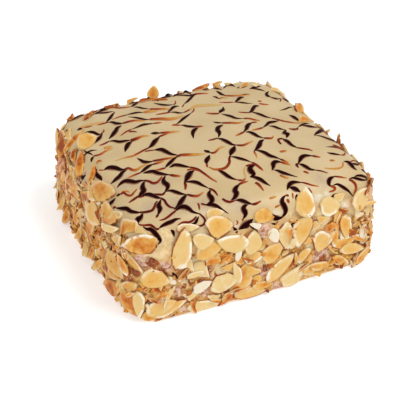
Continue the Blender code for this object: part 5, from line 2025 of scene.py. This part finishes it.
def sweeping_tree(material):
    """Snaps curves to a surface and sweeps a flat section along them."""
    sockets = (("Surface", "Collection"), ("Sides", "Int", 10), ("Flatness", "Float", 0.24))
    t = Growth("sweep_chocolate", *sockets)
    surface = t.real(t.out("GeometryNodeCollectionInfo", {"Collection": t.given["Surface"]}))
    inputs = {"Geometry": surface}
    near = t.out("GeometryNodeProximity", inputs, "Position", target_element="FACES")
    inputs = {"Geometry": t.given["Geometry"], "Position": near}
    placed = t.out("GeometryNodeSetPosition", inputs)
    inputs = {"Mesh": surface, "Value": t.normal()}
    off = t.out("GeometryNodeSampleNearestSurface", inputs, data_type="FLOAT_VECTOR")
    placed = t.store(placed, "off", off, "FLOAT_VECTOR")
    curve = t.out("GeometryNodeMeshToCurve", {"Mesh": placed})
    inputs = {"Curve": curve, "Normal": t.named("off", "FLOAT_VECTOR")}
    faced = t.out("GeometryNodeSetCurveNormal", inputs, mode="FREE")
    inputs = {"Resolution": t.given["Sides"], "Radius": 1.0}
    ring = t.out("GeometryNodeCurvePrimitiveCircle", inputs)
    place = t.out("GeometryNodeInputPosition")
    sideways = t.out("ShaderNodeSeparateXYZ", {"Vector": place}, "Y")
    ring = t.store(ring, "brink", t.calc("ABSOLUTE", sideways))
    inputs = {"Geometry": ring, "Scale": t.vector(t.given["Flatness"], 1.0, 1.0)}
    flat = t.out("GeometryNodeTransform", inputs)
    inputs = {"Curve": faced, "Profile Curve": flat, "Scale": t.named("half_width"), "Fill Caps": True}
    return t.done(t.smooth(t.out("GeometryNodeCurveToMesh", inputs)), material)


def chocolate_finish():
    """Dark where it is thick, and toward the glaze's colour as it fades and at its brink."""
    t = Finish("chocolate")
    fade = t.plus(t.attribute("fade"), t.centred(t.noise(420, 2.0), 0.30), clamp=True)
    colour = t.ramp(
        fade, (0.0, "1e0103"), (0.20, "3a080c"), (0.42, "701a10"),
        (0.60, "a2461a"), (0.78, "c68434"), (1.0, "ceac6a"),
    )
    colour = t.mix(t.span(t.attribute("brink"), 0.55, 1.0, 0.0, 0.80), colour, "b88664")
    return t.done(colour, 0.45, 0.02, grain=(700, 2.0, 0.0001))


chocolate_material = chocolate_finish()
surfaces = bpy.data.collections.new("glazed_surfaces")
bpy.context.scene.collection.children.link(surfaces)
for carrier in (icing_skin, cake_skin, glaze_runs):
    surfaces.objects.link(carrier)
curves = [tail_curve(*row) for row in TAILS] + [stroke_curve(*row) for row in STROKES]
curves += [drip_curve(*row) for row in HIDDEN_DRIPS]
chocolate_lines = line_mesh("chocolate_feathering", curves)
chocolate = grow("chocolate_feathering", chocolate_lines, sweeping_tree(chocolate_material), Surface=surfaces)
for carrier in (icing_skin, cake_skin, glaze_runs):
    surfaces.objects.unlink(carrier)
bpy.context.scene.collection.children.unlink(surfaces)

# %% Beads where the chocolate lines began
# Pixels of a bead's middle, then half its width and height.
BEADS = (
    (148, 96, 2.8, 3.2), (167.5, 93.5, 3.4, 2.6), (185.5, 90, 3.0, 2.6), (131, 101, 4.2, 2.0),
    (205, 87.5, 3.4, 1.8), (151, 99, 3.0, 2.0), (103, 109.5, 3.6, 1.6),
)
BEAD_DENTS = 0.1


def beads_mesh():
    """Small dented drops, sunk by half into the glaze."""
    draws = random.Random(29)
    shape = bmesh.new()
    for x, y, wide, high in BEADS:
        middle, outward, _, _ = coat.find_nearest(seen(coat, (x, y))[0])
        axes = outward.to_track_quat("Z", "Y").to_matrix().to_4x4()
        size = Matrix.Diagonal((wide * PIXEL, wide * PIXEL, high * PIXEL, 1))
        place = Matrix.Translation(middle) @ axes @ size
        made = bmesh.ops.create_icosphere(shape, subdivisions=2, radius=1.0, matrix=place)
        for vertex in made["verts"]:
            vertex.co += outward * draws.uniform(-BEAD_DENTS, BEAD_DENTS) * high * PIXEL
    for face in shape.faces:
        face.smooth = True
    mesh = finished_mesh("chocolate_beads", shape)
    mesh.materials.append(chocolate_material)
    return mesh


beads = new_object("chocolate_beads", beads_mesh())
print("beads:", len(BEADS))

# %% [markdown]
# ## Floor
#
# A plain pale floor, so white that only the soft shadow of the cake shows. It
# also glows a little, which is painted light: it pales that shadow and lights
# the foot of the cake.

# %% Floor
FLOOR_REACH = 3.0


def add_floor():
    mesh = bpy.data.meshes.new("floor")
    corners = [(x * FLOOR_REACH, y * FLOOR_REACH, 0) for x, y in ((-1, -1), (1, -1), (1, 1), (-1, 1))]
    mesh.from_pydata(corners, [], [(0, 1, 2, 3)])
    t = Finish("white_floor")
    colour = t.ramp(t.noise(4, 2.0), (0.3, "f0f0f0"), (0.7, "f4f4f4"))
    # The floor glows a little: painted light, which pales the cake's shadow on it and lights the cake's foot.
    mesh.materials.append(t.done(colour, 0.6, 0.3, glow=0.36))
    floor = new_object("floor", mesh)
    floor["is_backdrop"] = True


add_floor()
print("floor laid")

# %% [markdown]
# ## Handing the pieces to the frame
#
# Every piece rides on the one body that the cake is. The fine skins stand for
# the solids, and the almonds for those that are fused to them.

# %% Ride and replace
PIECES = (
    (cake_skin, "almond_coat"), (almond_slices, "almond_coat"), (broken_almonds, "almond_coat"),
    (almond_slivers, "almond_coat"), (chopped_almonds, "almond_coat"), (crumbs, "almond_coat"),
    (icing_skin, "glaze"), (glaze_runs, "glaze"), (chocolate, "chocolate"), (beads, "chocolate"),
)
for piece, slot in PIECES:
    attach(piece, "root")
for piece in (cake_skin, almond_slices):
    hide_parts("cake")
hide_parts("icing")

dressed_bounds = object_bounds()
sizes = {"solid": solid_bounds, "dressed": dressed_bounds}
{name: [list(corner) for corner in corners] for name, corners in sizes.items()}
print({name: [[round(v, 4) for v in corner] for corner in corners] for name, corners in sizes.items()})
